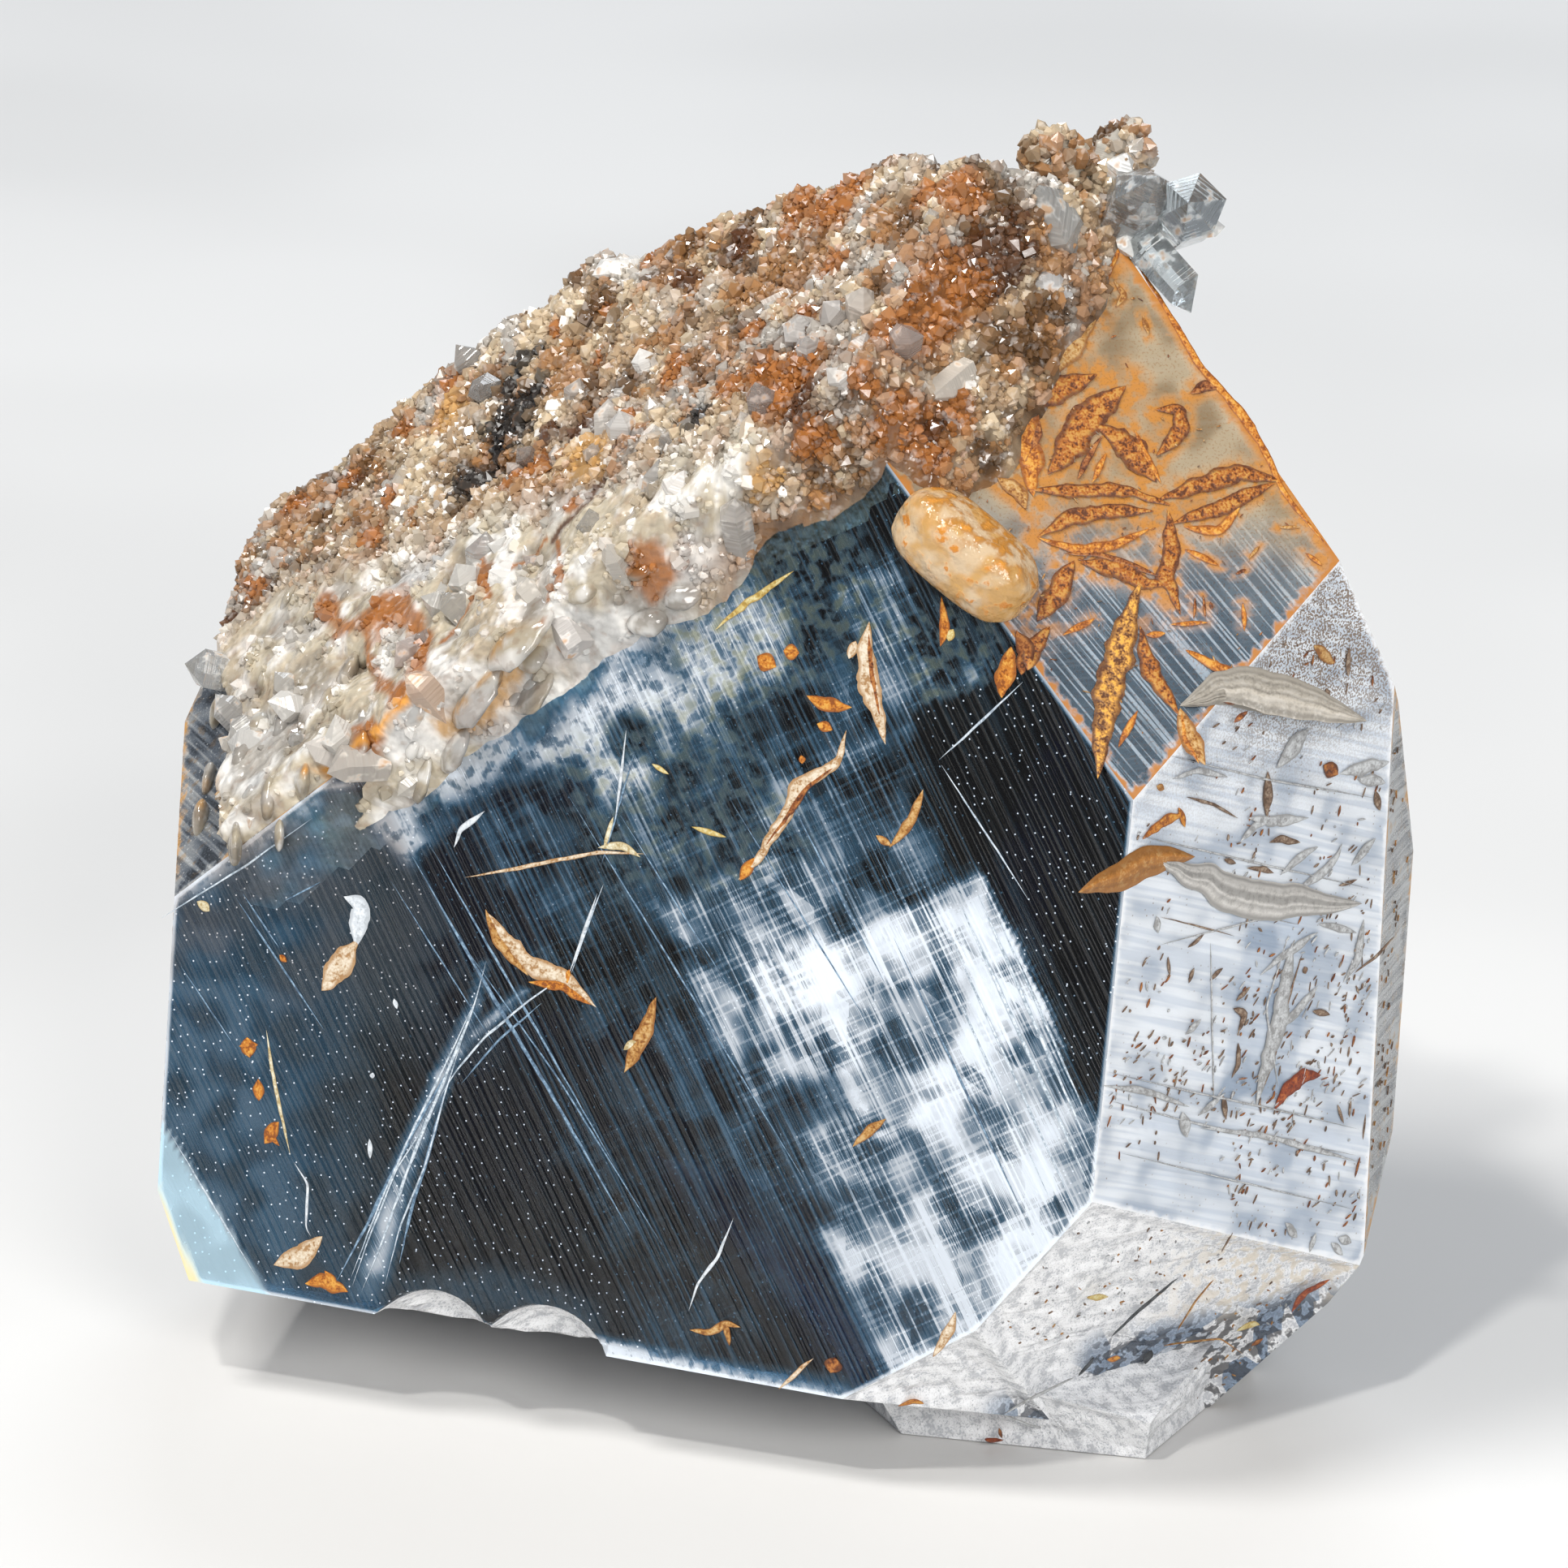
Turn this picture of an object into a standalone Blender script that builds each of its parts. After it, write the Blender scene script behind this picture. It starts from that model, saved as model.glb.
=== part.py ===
# Quartz crystal: one clear skeletal crystal with flat growth faces, a druse crust of small
# crystals over its upper left side, and small crystals grown onto it. All of it grew as one piece.
# Sizes are in millimetres in the named values, and in metres in the scene.
# A face is given by its heading (0 faces -Y, + turns towards +X), its rise above the horizon
# and its distance from the middle of the crystal that it bounds.

import math

import bmesh
import bpy
import numpy as np
from mathutils import Quaternion, Vector

MM = 0.001

# The middle of the main crystal, 26.2 mm above the base that it stands on.
MIDDLE = (0.05, -3.57, 26.2)

# Faces of the main crystal: heading in degrees, rise in degrees, distance in mm.
CRYSTAL_FACES = {
    "front": (-20.0, 10.0, 10.6),
    "stained": (17.6, 35.0, 21.4),
    "pale": (41.6, 3.0, 23.1),
    "narrow": (69.8, 0.1, 29.0),
    "left": (-87.5, 4.4, 29.6),
    "left_low": (-103.1, -22.9, 33.3),
    "left_top": (-107.6, 9.9, 32.0),
    "bevel": (28.1, -24.6, 25.6),
    "bevel_low": (12.3, -33.7, 25.9),
    "druse": (-66.6, 44.3, 18.65),
    "top_back_left": (-169.2, 28.5, 26.3),
    "top_back": (171.7, 44.1, 27.0),
    "top_back_right": (163.5, 50.7, 28.8),
    "behind_stained": (115.5, 24.5, 26.8),
    "behind_pale": (113.3, 26.7, 27.3),
    "behind_narrow": (110.4, 13.7, 28.0),
    "right_back": (109.1, -6.5, 28.7),
    "low_right": (109.2, -31.0, 30.3),
    "low_right_foot": (111.5, -44.6, 30.4),
    "back": (165.0, -6.0, 20.2),
    "back_right": (130.0, -8.0, 24.1),
    "back_left": (-140.0, -10.0, 29.9),
    "under": (-25.3, -69.9, 25.0),
}

# The crust is a rounded body round the same middle. Where a distance is more than the crystal's
# own, the crust covers that face by the difference, and elsewhere it stays inside the crystal.
CRUST_FACES = {
    "spill_front": (-10.2, -2.1, 6.95),
    "spill_stained": (28.7, 25.5, 19.9),
    "druse": (-66.6, 44.3, 19.1),
    "left_top": (-107.6, 9.9, 31.8),
    "top_back_left": (-169.2, 28.5, 26.6),
    "top_back": (171.7, 44.1, 27.2),
    "top_back_right": (163.5, 50.7, 28.9),
    "inside_right": (95.0, 5.0, 19.0),
    "inside_back": (170.0, -10.0, 17.0),
    "inside_left": (-100.0, -30.0, 22.0),
    "inside_low": (0.0, -80.0, 14.0),
}
CRUST_SUBDIVISIONS = 5
# The ball's points are drawn towards the druse face, so that they lie closer together there.
CRUST_PULL = 0.55
CRUST_SEED = 41
CRUST_LUMPS = 260
LUMP_RADIUS = (1.5, 3.4)
LUMP_HEIGHT = (0.35, 1.15)
# Directions from the middle that the lumps and points are scattered over: towards the druse face.
CRUST_FACING = (-66.6, 44.3)
CRUST_SPREAD = 100.0
# How far the crust stands over the crystal where lumps and points grow, in mm.
CRUST_SHOWS = 0.1
# The front face's upper left edge is clean. Left of the first x the crust stays this deep under
# the front face, and it is free to rise by this much right of the second, in mm.
CLEAN_EDGE = (-21.0, -16.0)
CLEAN_DEPTH = 0.15
CRUST_FREE = 6.0

# Small crystals on the crust, each a six-sided prism with a six-sided point.
POINTS = 120
POINT_RADIUS = (0.45, 1.25)
POINT_SLENDERNESS = (1.1, 1.7)
POINT_LEAN = 0.5
# A point's own shape, in parts of its radius: how far its tip draws in, and how high it stands.
TIP_DRAWN_IN = 0.74
TIP_HEIGHT = 0.85

# Named small crystals: place from the middle, direction of the point, radius, length, roll.
GROWN_CRYSTALS = {
    "tip_clear": ((19.2, 1.2, 32.4), (0.10, -0.75, 0.35), 1.75, 3.2, 12.0),
    "tip_low": ((18.0, 0.0, 30.2), (0.62, -0.45, -0.60), 1.05, 3.4, 30.0),
    "tip_facets": ((16.7, 1.2, 32.4), (0.30, -0.55, 0.80), 1.60, 3.6, 5.0),
    "tip_block": ((13.2, 0.4, 31.4), (-0.35, -0.60, 0.75), 1.90, 3.4, 20.0),
    "tip_slab": ((12.6, -0.9, 29.0), (-0.10, -0.70, 0.60), 1.50, 2.6, 40.0),
    "tip_lump": ((13.9, 3.2, 33.0), (-0.55, -0.20, 0.85), 1.90, 4.0, 15.0),
    "tip_lump_right": ((15.9, 3.4, 33.4), (0.25, 0.15, 0.95), 1.55, 3.4, 35.0),
    "left_clear": ((-27.6, 11.0, 5.6), (-0.95, -0.10, 0.25), 0.95, 3.0, 10.0),
}

# The rounded yellow crystal on the edge between the front and the stained face.
HONEY_FROM = (5.5, -9.1, 21.4)
HONEY_TO = (11.6, -12.2, 17.0)
HONEY_RADIUS = 2.15
HONEY_BULGE = 0.72

# The stepped foot at the lower right, which the crystal leans on.
FOOT_MIDDLE = (14.0, -9.0, -22.6)
FOOT_FACES = {
    "front": (-14.0, -24.0, 4.45),
    "right": (62.0, -16.0, 5.9),
    "top": (14.0, 60.0, 2.0),
    "left": (-66.0, -30.0, 8.8),
    "low": (0.0, -90.0, 6.0),
    "back": (178.0, 5.0, 6.5),
}

# Shell-shaped chips along the lower front edge: middle of each cutting ball and its radius.
CHIPS = {
    "chip_left": ((-17.3, -9.7, -22.5), 3.4),
    "chip_middle": ((-11.9, -11.8, -22.6), 3.6),
}
# A growth step on the back: a shallow plate standing on the back face.
BACK_PLATE_MIDDLE = (4.0, 12.0, 2.0)
BACK_PLATE_FACES = {
    "out": (165.0, -6.0, 9.9),
    "up": (170.0, 62.0, 12.0),
    "down": (160.0, -66.0, 9.0),
    "right": (100.0, -20.0, 8.0),
    "left": (-125.0, 12.0, 8.0),
    "in": (-15.0, 6.0, 4.0),
}

# The block that faces are cut from, and the edge lengths below which points merge, in mm.
BLOCK = 140.0
SMALLEST_EDGE = 0.004
SMALLEST_FACE = 0.001
# Colour, roughness and metallic value.
CLEAR = ((0.80, 0.86, 0.92, 1.0), 0.08, 0.0)


def unit(heading, rise):
    """The direction with this heading and rise, in degrees."""
    h, r = math.radians(heading), math.radians(rise)
    return Vector((math.sin(h) * math.cos(r), -math.cos(h) * math.cos(r), math.sin(r)))


def placed(offset):
    """A point given in mm from the crystal's middle, in metres in the part's frame."""
    return (Vector(MIDDLE) + Vector(offset)) * MM


def clear_scene():
    for obj in list(bpy.data.objects):
        bpy.data.objects.remove(obj, do_unlink=True)


def new_collection(name):
    collection = bpy.data.collections.new(name)
    bpy.context.scene.collection.children.link(collection)
    return collection


def new_material(name, look):
    colour, roughness, metallic = look
    material = bpy.data.materials.new(name)
    material.use_nodes = True
    shader = material.node_tree.nodes["Principled BSDF"]
    shader.inputs["Base Color"].default_value = colour
    shader.inputs["Roughness"].default_value = roughness
    shader.inputs["Metallic"].default_value = metallic
    return material


def new_object(name, bm, collection, helper=False):
    """Puts a bmesh into a new object. A helper isn't rendered."""
    bmesh.ops.recalc_face_normals(bm, faces=bm.faces)
    mesh = bpy.data.meshes.new(name)
    bm.to_mesh(mesh)
    bm.free()
    obj = bpy.data.objects.new(name, mesh)
    collection.objects.link(obj)
    if helper:
        obj.hide_render = True
        obj.display_type = "WIRE"
    return obj


def cut(bm, point, normal):
    """Takes away what lies beyond a plane and closes the cut."""
    geometry = bm.verts[:] + bm.edges[:] + bm.faces[:]
    made = bmesh.ops.bisect_plane(
        bm, geom=geometry, plane_co=point, plane_no=normal, clear_outer=True, dist=1e-7
    )
    edges = [part for part in made["geom_cut"] if isinstance(part, bmesh.types.BMEdge)]
    if edges:
        bmesh.ops.contextual_create(bm, geom=edges)


def faceted(middle, faces):
    """A convex crystal: a block cut by one plane for each (heading, rise, distance)."""
    bm = bmesh.new()
    bmesh.ops.create_cube(bm, size=BLOCK * MM)
    bmesh.ops.translate(bm, verts=bm.verts, vec=middle)
    for heading, rise, distance in faces.values():
        normal = unit(heading, rise)
        cut(bm, middle + normal * distance * MM, normal)
    return bm


def radius_of(directions, faces):
    """How far a body with these faces reaches from the middle in each direction, in mm."""
    radius = np.full(len(directions), np.inf)
    for heading, rise, distance in faces.values():
        along = directions @ np.array(unit(heading, rise))
        reach = np.where(along > 1e-3, distance / np.maximum(along, 1e-3), np.inf)
        radius = np.minimum(radius, reach)
    return radius


def scattered_directions(rng, count):
    """Directions spread over a cap of CRUST_SPREAD degrees round the druse face, where the crust shows."""
    axis = unit(*CRUST_FACING)
    side = axis.orthogonal().normalized()
    other = axis.cross(side)
    found = []
    while len(found) < count:
        height = 1 - rng.random() * (1 - math.cos(math.radians(CRUST_SPREAD)))
        turn = rng.random() * 2 * math.pi
        reach = math.sqrt(1 - height * height)
        direction = axis * height + (side * math.cos(turn) + other * math.sin(turn)) * reach
        here = np.array([direction])
        if radius_of(here, CRUST_FACES)[0] > radius_of(here, CRYSTAL_FACES)[0] + CRUST_SHOWS:
            found.append(direction)
    return found


def lump_height(points, rng):
    """Rounded lumps: at each point the tallest of the domes that reach it, in mm."""
    directions = np.array(scattered_directions(rng, CRUST_LUMPS))
    centres = directions * radius_of(directions, CRUST_FACES)[:, None]
    radii = rng.uniform(*LUMP_RADIUS, CRUST_LUMPS)
    heights = rng.uniform(*LUMP_HEIGHT, CRUST_LUMPS)
    height = np.zeros(len(points))
    for centre, radius, top in zip(centres, radii, heights):
        far = np.linalg.norm(points - centre, axis=1) / radius
        height = np.maximum(height, top * np.sqrt(np.maximum(0.0, 1 - far * far)))
    return height


def clean_limit(directions, points):
    """How far the crust may reach, in mm: under the front face at its clean edge, and free elsewhere."""
    front = radius_of(directions, {"front": CRYSTAL_FACES["front"]})
    start, end = CLEAN_EDGE
    free = np.clip((points[:, 0] - start) / (end - start), 0.0, 1.0)
    return front - CLEAN_DEPTH + free * CRUST_FREE


def crust():
    """The druse crust: a ball pushed out to its planes, with rounded lumps."""
    bm = bmesh.new()
    bmesh.ops.create_icosphere(bm, subdivisions=CRUST_SUBDIVISIONS, radius=1.0)
    pull = unit(*CRUST_FACING) * CRUST_PULL
    directions = np.array([(vert.co.normalized() + pull).normalized() for vert in bm.verts])
    flat = radius_of(directions, CRUST_FACES)
    points = directions * flat[:, None]
    lumpy = flat + lump_height(points, np.random.default_rng(CRUST_SEED))
    reaches = np.minimum(lumpy, clean_limit(directions, points))
    for vert, direction, reach in zip(bm.verts, directions, reaches):
        vert.co = placed(direction * reach)
    return bm


def pointed_crystal(base, direction, radius, length, roll):
    """A six-sided prism with a six-sided point, its foot at base. Sizes in mm."""
    direction = direction.normalized()
    bm = bmesh.new()
    bmesh.ops.create_cone(
        bm, cap_ends=True, segments=6, radius1=radius * MM, radius2=radius * MM, depth=2 * length * MM
    )
    top = max(bm.faces, key=lambda face: face.calc_center_median().z)
    bmesh.ops.inset_individual(bm, faces=[top], thickness=radius * TIP_DRAWN_IN * MM)
    for vert in top.verts:
        vert.co.z += radius * TIP_HEIGHT * MM
    turn = direction.to_track_quat("Z", "Y") @ Quaternion((0, 0, 1), roll)
    for vert in bm.verts:
        vert.co = base + turn @ vert.co
    return bm


def druse_points(collection):
    """The larger small crystals, which stand on the crust and lean at random."""
    rng = np.random.default_rng(CRUST_SEED + 1)
    made = []
    for index, direction in enumerate(scattered_directions(rng, POINTS)):
        reach = radius_of(np.array([direction]), CRUST_FACES)[0]
        radius = rng.uniform(*POINT_RADIUS)
        length = radius * rng.uniform(*POINT_SLENDERNESS)
        lean = Vector(rng.normal(0.0, POINT_LEAN, 3))
        base = placed(direction * reach)
        bm = pointed_crystal(base, direction + lean, radius, length, rng.uniform(0, 1))
        made.append(new_object(f"druse_point_{index + 1}", bm, collection, True))
    return made


def grown_crystals(collection):
    made = []
    for name, (place, direction, radius, length, roll) in GROWN_CRYSTALS.items():
        bm = pointed_crystal(placed(place), Vector(direction), radius, length / 2, math.radians(roll))
        made.append(new_object(name, bm, collection, True))
    return made


def honey_crystal(collection):
    """A rounded crystal along the edge: a ball drawn out between two points and slightly boxed."""
    start, end = placed(HONEY_FROM), placed(HONEY_TO)
    axis = (end - start) / 2
    turn = axis.to_track_quat("Z", "Y")
    bm = bmesh.new()
    bmesh.ops.create_icosphere(bm, subdivisions=3, radius=1.0)
    for vert in bm.verts:
        square = Vector([math.copysign(abs(part) ** HONEY_BULGE, part) for part in vert.co])
        width = HONEY_RADIUS * MM
        vert.co = turn @ Vector((square.x * width, square.y * width, square.z * axis.length))
        vert.co += (start + end) / 2
    return new_object("honey_crystal", bm, collection, True)


def chip_cutters(collection):
    made = []
    for name, (place, radius) in CHIPS.items():
        bm = bmesh.new()
        bmesh.ops.create_icosphere(bm, subdivisions=3, radius=radius * MM)
        bmesh.ops.translate(bm, verts=bm.verts, vec=placed(place))
        made.append(new_object(name, bm, collection, True))
    return made


def combine(obj, others, operation):
    """Joins or cuts by each of the other objects in turn, and applies it."""
    for other in others:
        modifier = obj.modifiers.new(other.name, "BOOLEAN")
        modifier.operation = operation
        modifier.solver = "EXACT"
        modifier.object = other
    bpy.context.view_layer.update()
    graph = bpy.context.evaluated_depsgraph_get()
    mesh = bpy.data.meshes.new_from_object(obj.evaluated_get(graph))
    obj.modifiers.clear()
    obj.data = mesh


def base_cutter(collection):
    """A block under the plane that the crystal stands on."""
    bm = bmesh.new()
    bmesh.ops.create_cube(bm, size=BLOCK * MM)
    bmesh.ops.translate(bm, verts=bm.verts, vec=(0, 0, -BLOCK / 2 * MM))
    return new_object("under_base", bm, collection, True)


def linked_faces(start):
    """The faces that join on to this one, edge by edge."""
    found = {start}
    waiting = [start]
    while waiting:
        for edge in waiting.pop().edges:
            fresh = set(edge.link_faces) - found
            found |= fresh
            waiting += fresh
    return found


def fill_sealed_gaps(bm):
    """Keeps the surface of the whole crystal and removes the skin of any gap sealed inside it."""
    outermost = max(bm.faces, key=lambda face: face.calc_center_median().x)
    inner = set(bm.faces) - linked_faces(outermost)
    bmesh.ops.delete(bm, geom=list(inner), context="FACES")


def tidy(obj):
    """Merges points that a cut left closer than SMALLEST_EDGE and splits faces into triangles."""
    bm = bmesh.new()
    bm.from_mesh(obj.data)
    bmesh.ops.remove_doubles(bm, verts=bm.verts, dist=SMALLEST_EDGE * MM)
    bmesh.ops.dissolve_degenerate(bm, edges=bm.edges, dist=SMALLEST_FACE * MM)
    bmesh.ops.triangulate(bm, faces=bm.faces)
    fill_sealed_gaps(bm)
    bmesh.ops.recalc_face_normals(bm, faces=bm.faces)
    bm.to_mesh(obj.data)
    bm.free()


def build():
    clear_scene()
    whole = new_collection("Quartz crystal")
    helpers = new_collection("Cutters and helpers")
    crystal = new_object("quartz_crystal", faceted(placed((0, 0, 0)), CRYSTAL_FACES), whole)
    joined = [new_object("crust", crust(), helpers, True)]
    joined.append(new_object("foot", faceted(placed(FOOT_MIDDLE), FOOT_FACES), helpers, True))
    plate = faceted(placed(BACK_PLATE_MIDDLE), BACK_PLATE_FACES)
    joined.append(new_object("back_plate", plate, helpers, True))
    joined.append(honey_crystal(helpers))
    joined += grown_crystals(helpers)
    joined += druse_points(helpers)
    combine(crystal, chip_cutters(helpers), "DIFFERENCE")
    combine(crystal, joined, "UNION")
    combine(crystal, [base_cutter(helpers)], "DIFFERENCE")
    tidy(crystal)
    crystal.data.materials.clear()
    crystal.data.materials.append(new_material("Clear quartz", CLEAR))
    return crystal


build()
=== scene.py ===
"""Looks of the quartz crystal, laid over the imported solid, which is the fixed frame.

Places and sizes in the named values are in millimetres from the middle of the main crystal, and a
flat face is named by its heading (0 faces -Y, + turns towards +X), its rise and its distance from
that middle. A place on a face is (u, v): u runs level to the right and v up the face.
"""

import functools
import itertools
import logging
import math
from dataclasses import dataclass, field
from enum import Enum

import bpy
import numpy as np
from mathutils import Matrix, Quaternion, Vector


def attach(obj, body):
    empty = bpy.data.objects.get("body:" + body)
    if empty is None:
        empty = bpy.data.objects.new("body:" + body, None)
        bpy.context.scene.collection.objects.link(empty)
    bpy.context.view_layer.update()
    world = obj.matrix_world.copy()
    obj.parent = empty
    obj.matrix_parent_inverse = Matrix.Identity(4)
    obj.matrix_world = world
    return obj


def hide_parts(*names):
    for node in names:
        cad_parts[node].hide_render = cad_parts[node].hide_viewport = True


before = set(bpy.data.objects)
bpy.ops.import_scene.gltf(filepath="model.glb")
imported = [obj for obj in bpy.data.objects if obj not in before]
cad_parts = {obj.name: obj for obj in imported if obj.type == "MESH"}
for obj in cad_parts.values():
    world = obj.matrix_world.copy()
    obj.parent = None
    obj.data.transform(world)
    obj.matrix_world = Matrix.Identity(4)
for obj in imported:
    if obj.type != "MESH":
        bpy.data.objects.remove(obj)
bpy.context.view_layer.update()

LOG = logging.getLogger("quartz")
MM = 0.001
NODE = "quartz_crystal"
MIDDLE = np.array((0.05, -3.57, 26.2))
UP = np.array((0.0, 0.0, 1.0))

Colour = tuple[float, float, float]
Place = tuple[float, float]
Point = tuple[float, float, float]
Socket = bpy.types.NodeSocket
Faces = dict[str, tuple]
QUARTZ_IOR = 1.544


class Slot(Enum):
    """The record's material slots."""

    CLEAR = "clear_quartz"
    DRUSE = "druse"
    STAIN = "iron_stain"


class FaceKind(Enum):
    """How a flat face grew, which decides its finish and its relief."""

    FRONT = "front"
    STAINED = "stained"
    PALE = "pale"
    BEVEL = "bevel"
    PRISM = "prism"


# Faces of the main crystal: heading, rise, distance, kind, number of rings of cells.
CRYSTAL_FACES: Faces = {
    "front": (-20.0, 10.0, 10.6, FaceKind.FRONT, 84),
    "stained": (17.6, 35.0, 21.4, FaceKind.STAINED, 46),
    "pale": (41.6, 3.0, 23.1, FaceKind.PALE, 52),
    "narrow": (69.8, 0.1, 29.0, FaceKind.PRISM, 16),
    "left": (-87.5, 4.4, 29.6, FaceKind.PRISM, 22),
    "left_low": (-103.1, -22.9, 33.3, FaceKind.PRISM, 10),
    "left_top": (-107.6, 9.9, 32.0, FaceKind.PRISM, 10),
    "bevel": (28.1, -24.6, 25.6, FaceKind.BEVEL, 34),
    "bevel_low": (12.3, -33.7, 25.9, FaceKind.BEVEL, 30),
    "druse": (-66.6, 44.3, 18.65, FaceKind.PRISM, 8),
    "top_back_left": (-169.2, 28.5, 26.3, FaceKind.PRISM, 8),
    "top_back": (171.7, 44.1, 27.0, FaceKind.PRISM, 8),
    "top_back_right": (163.5, 50.7, 28.8, FaceKind.PRISM, 8),
    "behind_stained": (115.5, 24.5, 26.8, FaceKind.PRISM, 18),
    "behind_pale": (113.3, 26.7, 27.3, FaceKind.PRISM, 10),
    "behind_narrow": (110.4, 13.7, 28.0, FaceKind.PRISM, 10),
    "right_back": (109.1, -6.5, 28.7, FaceKind.PRISM, 22),
    "low_right": (109.2, -31.0, 30.3, FaceKind.PRISM, 10),
    "low_right_foot": (111.5, -44.6, 30.4, FaceKind.PRISM, 10),
    "back": (165.0, -6.0, 20.2, FaceKind.PRISM, 30),
    "back_right": (130.0, -8.0, 24.1, FaceKind.PRISM, 18),
    "back_left": (-140.0, -10.0, 29.9, FaceKind.PRISM, 22),
    "under": (-25.3, -69.9, 25.0, FaceKind.BEVEL, 16),
    "base": (0.0, -90.0, 26.2, FaceKind.BEVEL, 8),
}
RIM_STEP = 0.45
# How strongly hair lines and growth lines stand on each kind of face.
LINE_RELIEF: dict[FaceKind, tuple[float, float]] = {
    FaceKind.FRONT: (0.36, 0.0),
    FaceKind.STAINED: (0.0, 0.4),
    FaceKind.PALE: (0.0, 1.0),
    FaceKind.BEVEL: (0.5, 0.9),
    FaceKind.PRISM: (0.0, 1.0),
}
# Balls that the chips along the lower front edge follow: middle and radius.
CHIPS: tuple[tuple[Point, float], ...] = (
    ((-17.3, -9.7, -22.5), 3.4),
    ((-11.9, -11.8, -22.6), 3.6),
)
FOOT_MIDDLE = (14.0, -9.0, -22.6)
FOOT_FACES: Faces = {
    "front": (-14.0, -24.0, 4.45, FaceKind.BEVEL, 20),
    "right": (62.0, -16.0, 5.9, FaceKind.BEVEL, 14),
    "top": (14.0, 60.0, 2.0, FaceKind.BEVEL, 16),
    "left": (-66.0, -30.0, 8.8, FaceKind.BEVEL, 8),
    "low": (0.0, -90.0, 3.6, FaceKind.BEVEL, 8),
    "back": (178.0, 5.0, 6.5, FaceKind.BEVEL, 8),
}
PLATE_MIDDLE = (4.0, 12.0, 2.0)
PLATE_FACES: Faces = {
    "out": (165.0, -6.0, 9.9, FaceKind.PRISM, 26),
    "up": (170.0, 62.0, 12.0, FaceKind.PRISM, 12),
    "down": (160.0, -66.0, 9.0, FaceKind.PRISM, 10),
    "right": (100.0, -20.0, 8.0, FaceKind.PRISM, 10),
    "left": (-125.0, 12.0, 8.0, FaceKind.PRISM, 10),
    "in": (-15.0, 6.0, 4.0, FaceKind.PRISM, 4),
}
# Faces of the crust and of the inside that it stands on: heading, rise, distance.
CRUST_FACES: Faces = {
    "spill_front": (-10.2, -2.1, 6.95),
    "spill_stained": (28.7, 25.5, 19.9),
    "druse": (-66.6, 44.3, 19.1),
    "left_top": (-107.6, 9.9, 31.8),
    "top_back_left": (-169.2, 28.5, 26.6),
    "top_back": (171.7, 44.1, 27.2),
    "top_back_right": (163.5, 50.7, 28.9),
    "inside_right": (95.0, 5.0, 19.0),
    "inside_back": (170.0, -10.0, 17.0),
    "inside_left": (-100.0, -30.0, 22.0),
    "inside_low": (0.0, -80.0, 14.0),
}


class Tone(Enum):
    """Iron stains and inclusions: (pale, middle and deep colour), then how high a mark stands in mm."""

    WHITE = ((0.80, 0.84, 0.88), (0.66, 0.71, 0.76), (0.48, 0.52, 0.56), 0.010)
    CREAM = ((0.80, 0.70, 0.56), (0.66, 0.52, 0.36), (0.40, 0.22, 0.09), 0.012)
    PALE = ((0.80, 0.76, 0.60), (0.66, 0.58, 0.38), (0.45, 0.34, 0.16), 0.010)
    YELLOW = ((0.70, 0.62, 0.34), (0.60, 0.46, 0.16), (0.40, 0.25, 0.05), 0.010)
    OCHRE = ((0.62, 0.40, 0.17), (0.48, 0.24, 0.06), (0.25, 0.09, 0.015), 0.012)
    ORANGE = ((0.72, 0.36, 0.06), (0.56, 0.19, 0.016), (0.26, 0.07, 0.007), 0.014)
    STAIN = ((0.56, 0.27, 0.05), (0.40, 0.12, 0.010), (0.11, 0.03, 0.006), 0.016)
    LENS = ((0.86, 0.42, 0.06), (0.42, 0.19, 0.04), (0.11, 0.035, 0.008), 0.030)
    RUST = ((0.46, 0.18, 0.04), (0.26, 0.075, 0.014), (0.09, 0.024, 0.006), 0.014)
    REDBROWN = ((0.48, 0.13, 0.03), (0.30, 0.05, 0.008), (0.15, 0.02, 0.004), 0.030)
    UMBER = ((0.40, 0.31, 0.23), (0.22, 0.14, 0.09), (0.10, 0.055, 0.03), 0.012)
    DARK = ((0.10, 0.11, 0.12), (0.05, 0.055, 0.06), (0.02, 0.022, 0.025), 0.010)
    HAIR = ((0.30, 0.44, 0.58), (0.15, 0.25, 0.36), (0.07, 0.12, 0.19), 0.005)
    # Painted highlight: bright lines where the front face's fibres and edges catch the light.
    GLINT = ((0.78, 0.84, 0.90), (0.54, 0.62, 0.70), (0.28, 0.35, 0.42), 0.006)
    GREY = ((0.64, 0.66, 0.67), (0.48, 0.49, 0.50), (0.30, 0.30, 0.30), 0.040)
    SPEAR = ((0.54, 0.50, 0.44), (0.44, 0.40, 0.34), (0.24, 0.17, 0.10), 0.160)
    RIDGE = ((0.70, 0.68, 0.65), (0.58, 0.56, 0.53), (0.36, 0.31, 0.26), 0.220)
    RIDGE_TIP = ((0.56, 0.30, 0.10), (0.42, 0.17, 0.03), (0.28, 0.09, 0.02), 0.140)


@dataclass(frozen=True)
class Mark:
    """A stain or inclusion on a face: tone, half-width at its widest, and the line that it follows."""

    tone: Tone
    half_width: float
    line: tuple[Place, ...]


def read_marks(text: str) -> tuple[Mark, ...]:
    """Reads marks, one a row: tone, half-width, then u and v of each place on the line."""
    found = []
    for row in text.strip().splitlines():
        tone, half_width, *places = row.split()
        numbers = iter(map(float, places))
        found.append(Mark(Tone[tone], float(half_width), tuple(zip(numbers, numbers))))
    return tuple(found)


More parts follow.
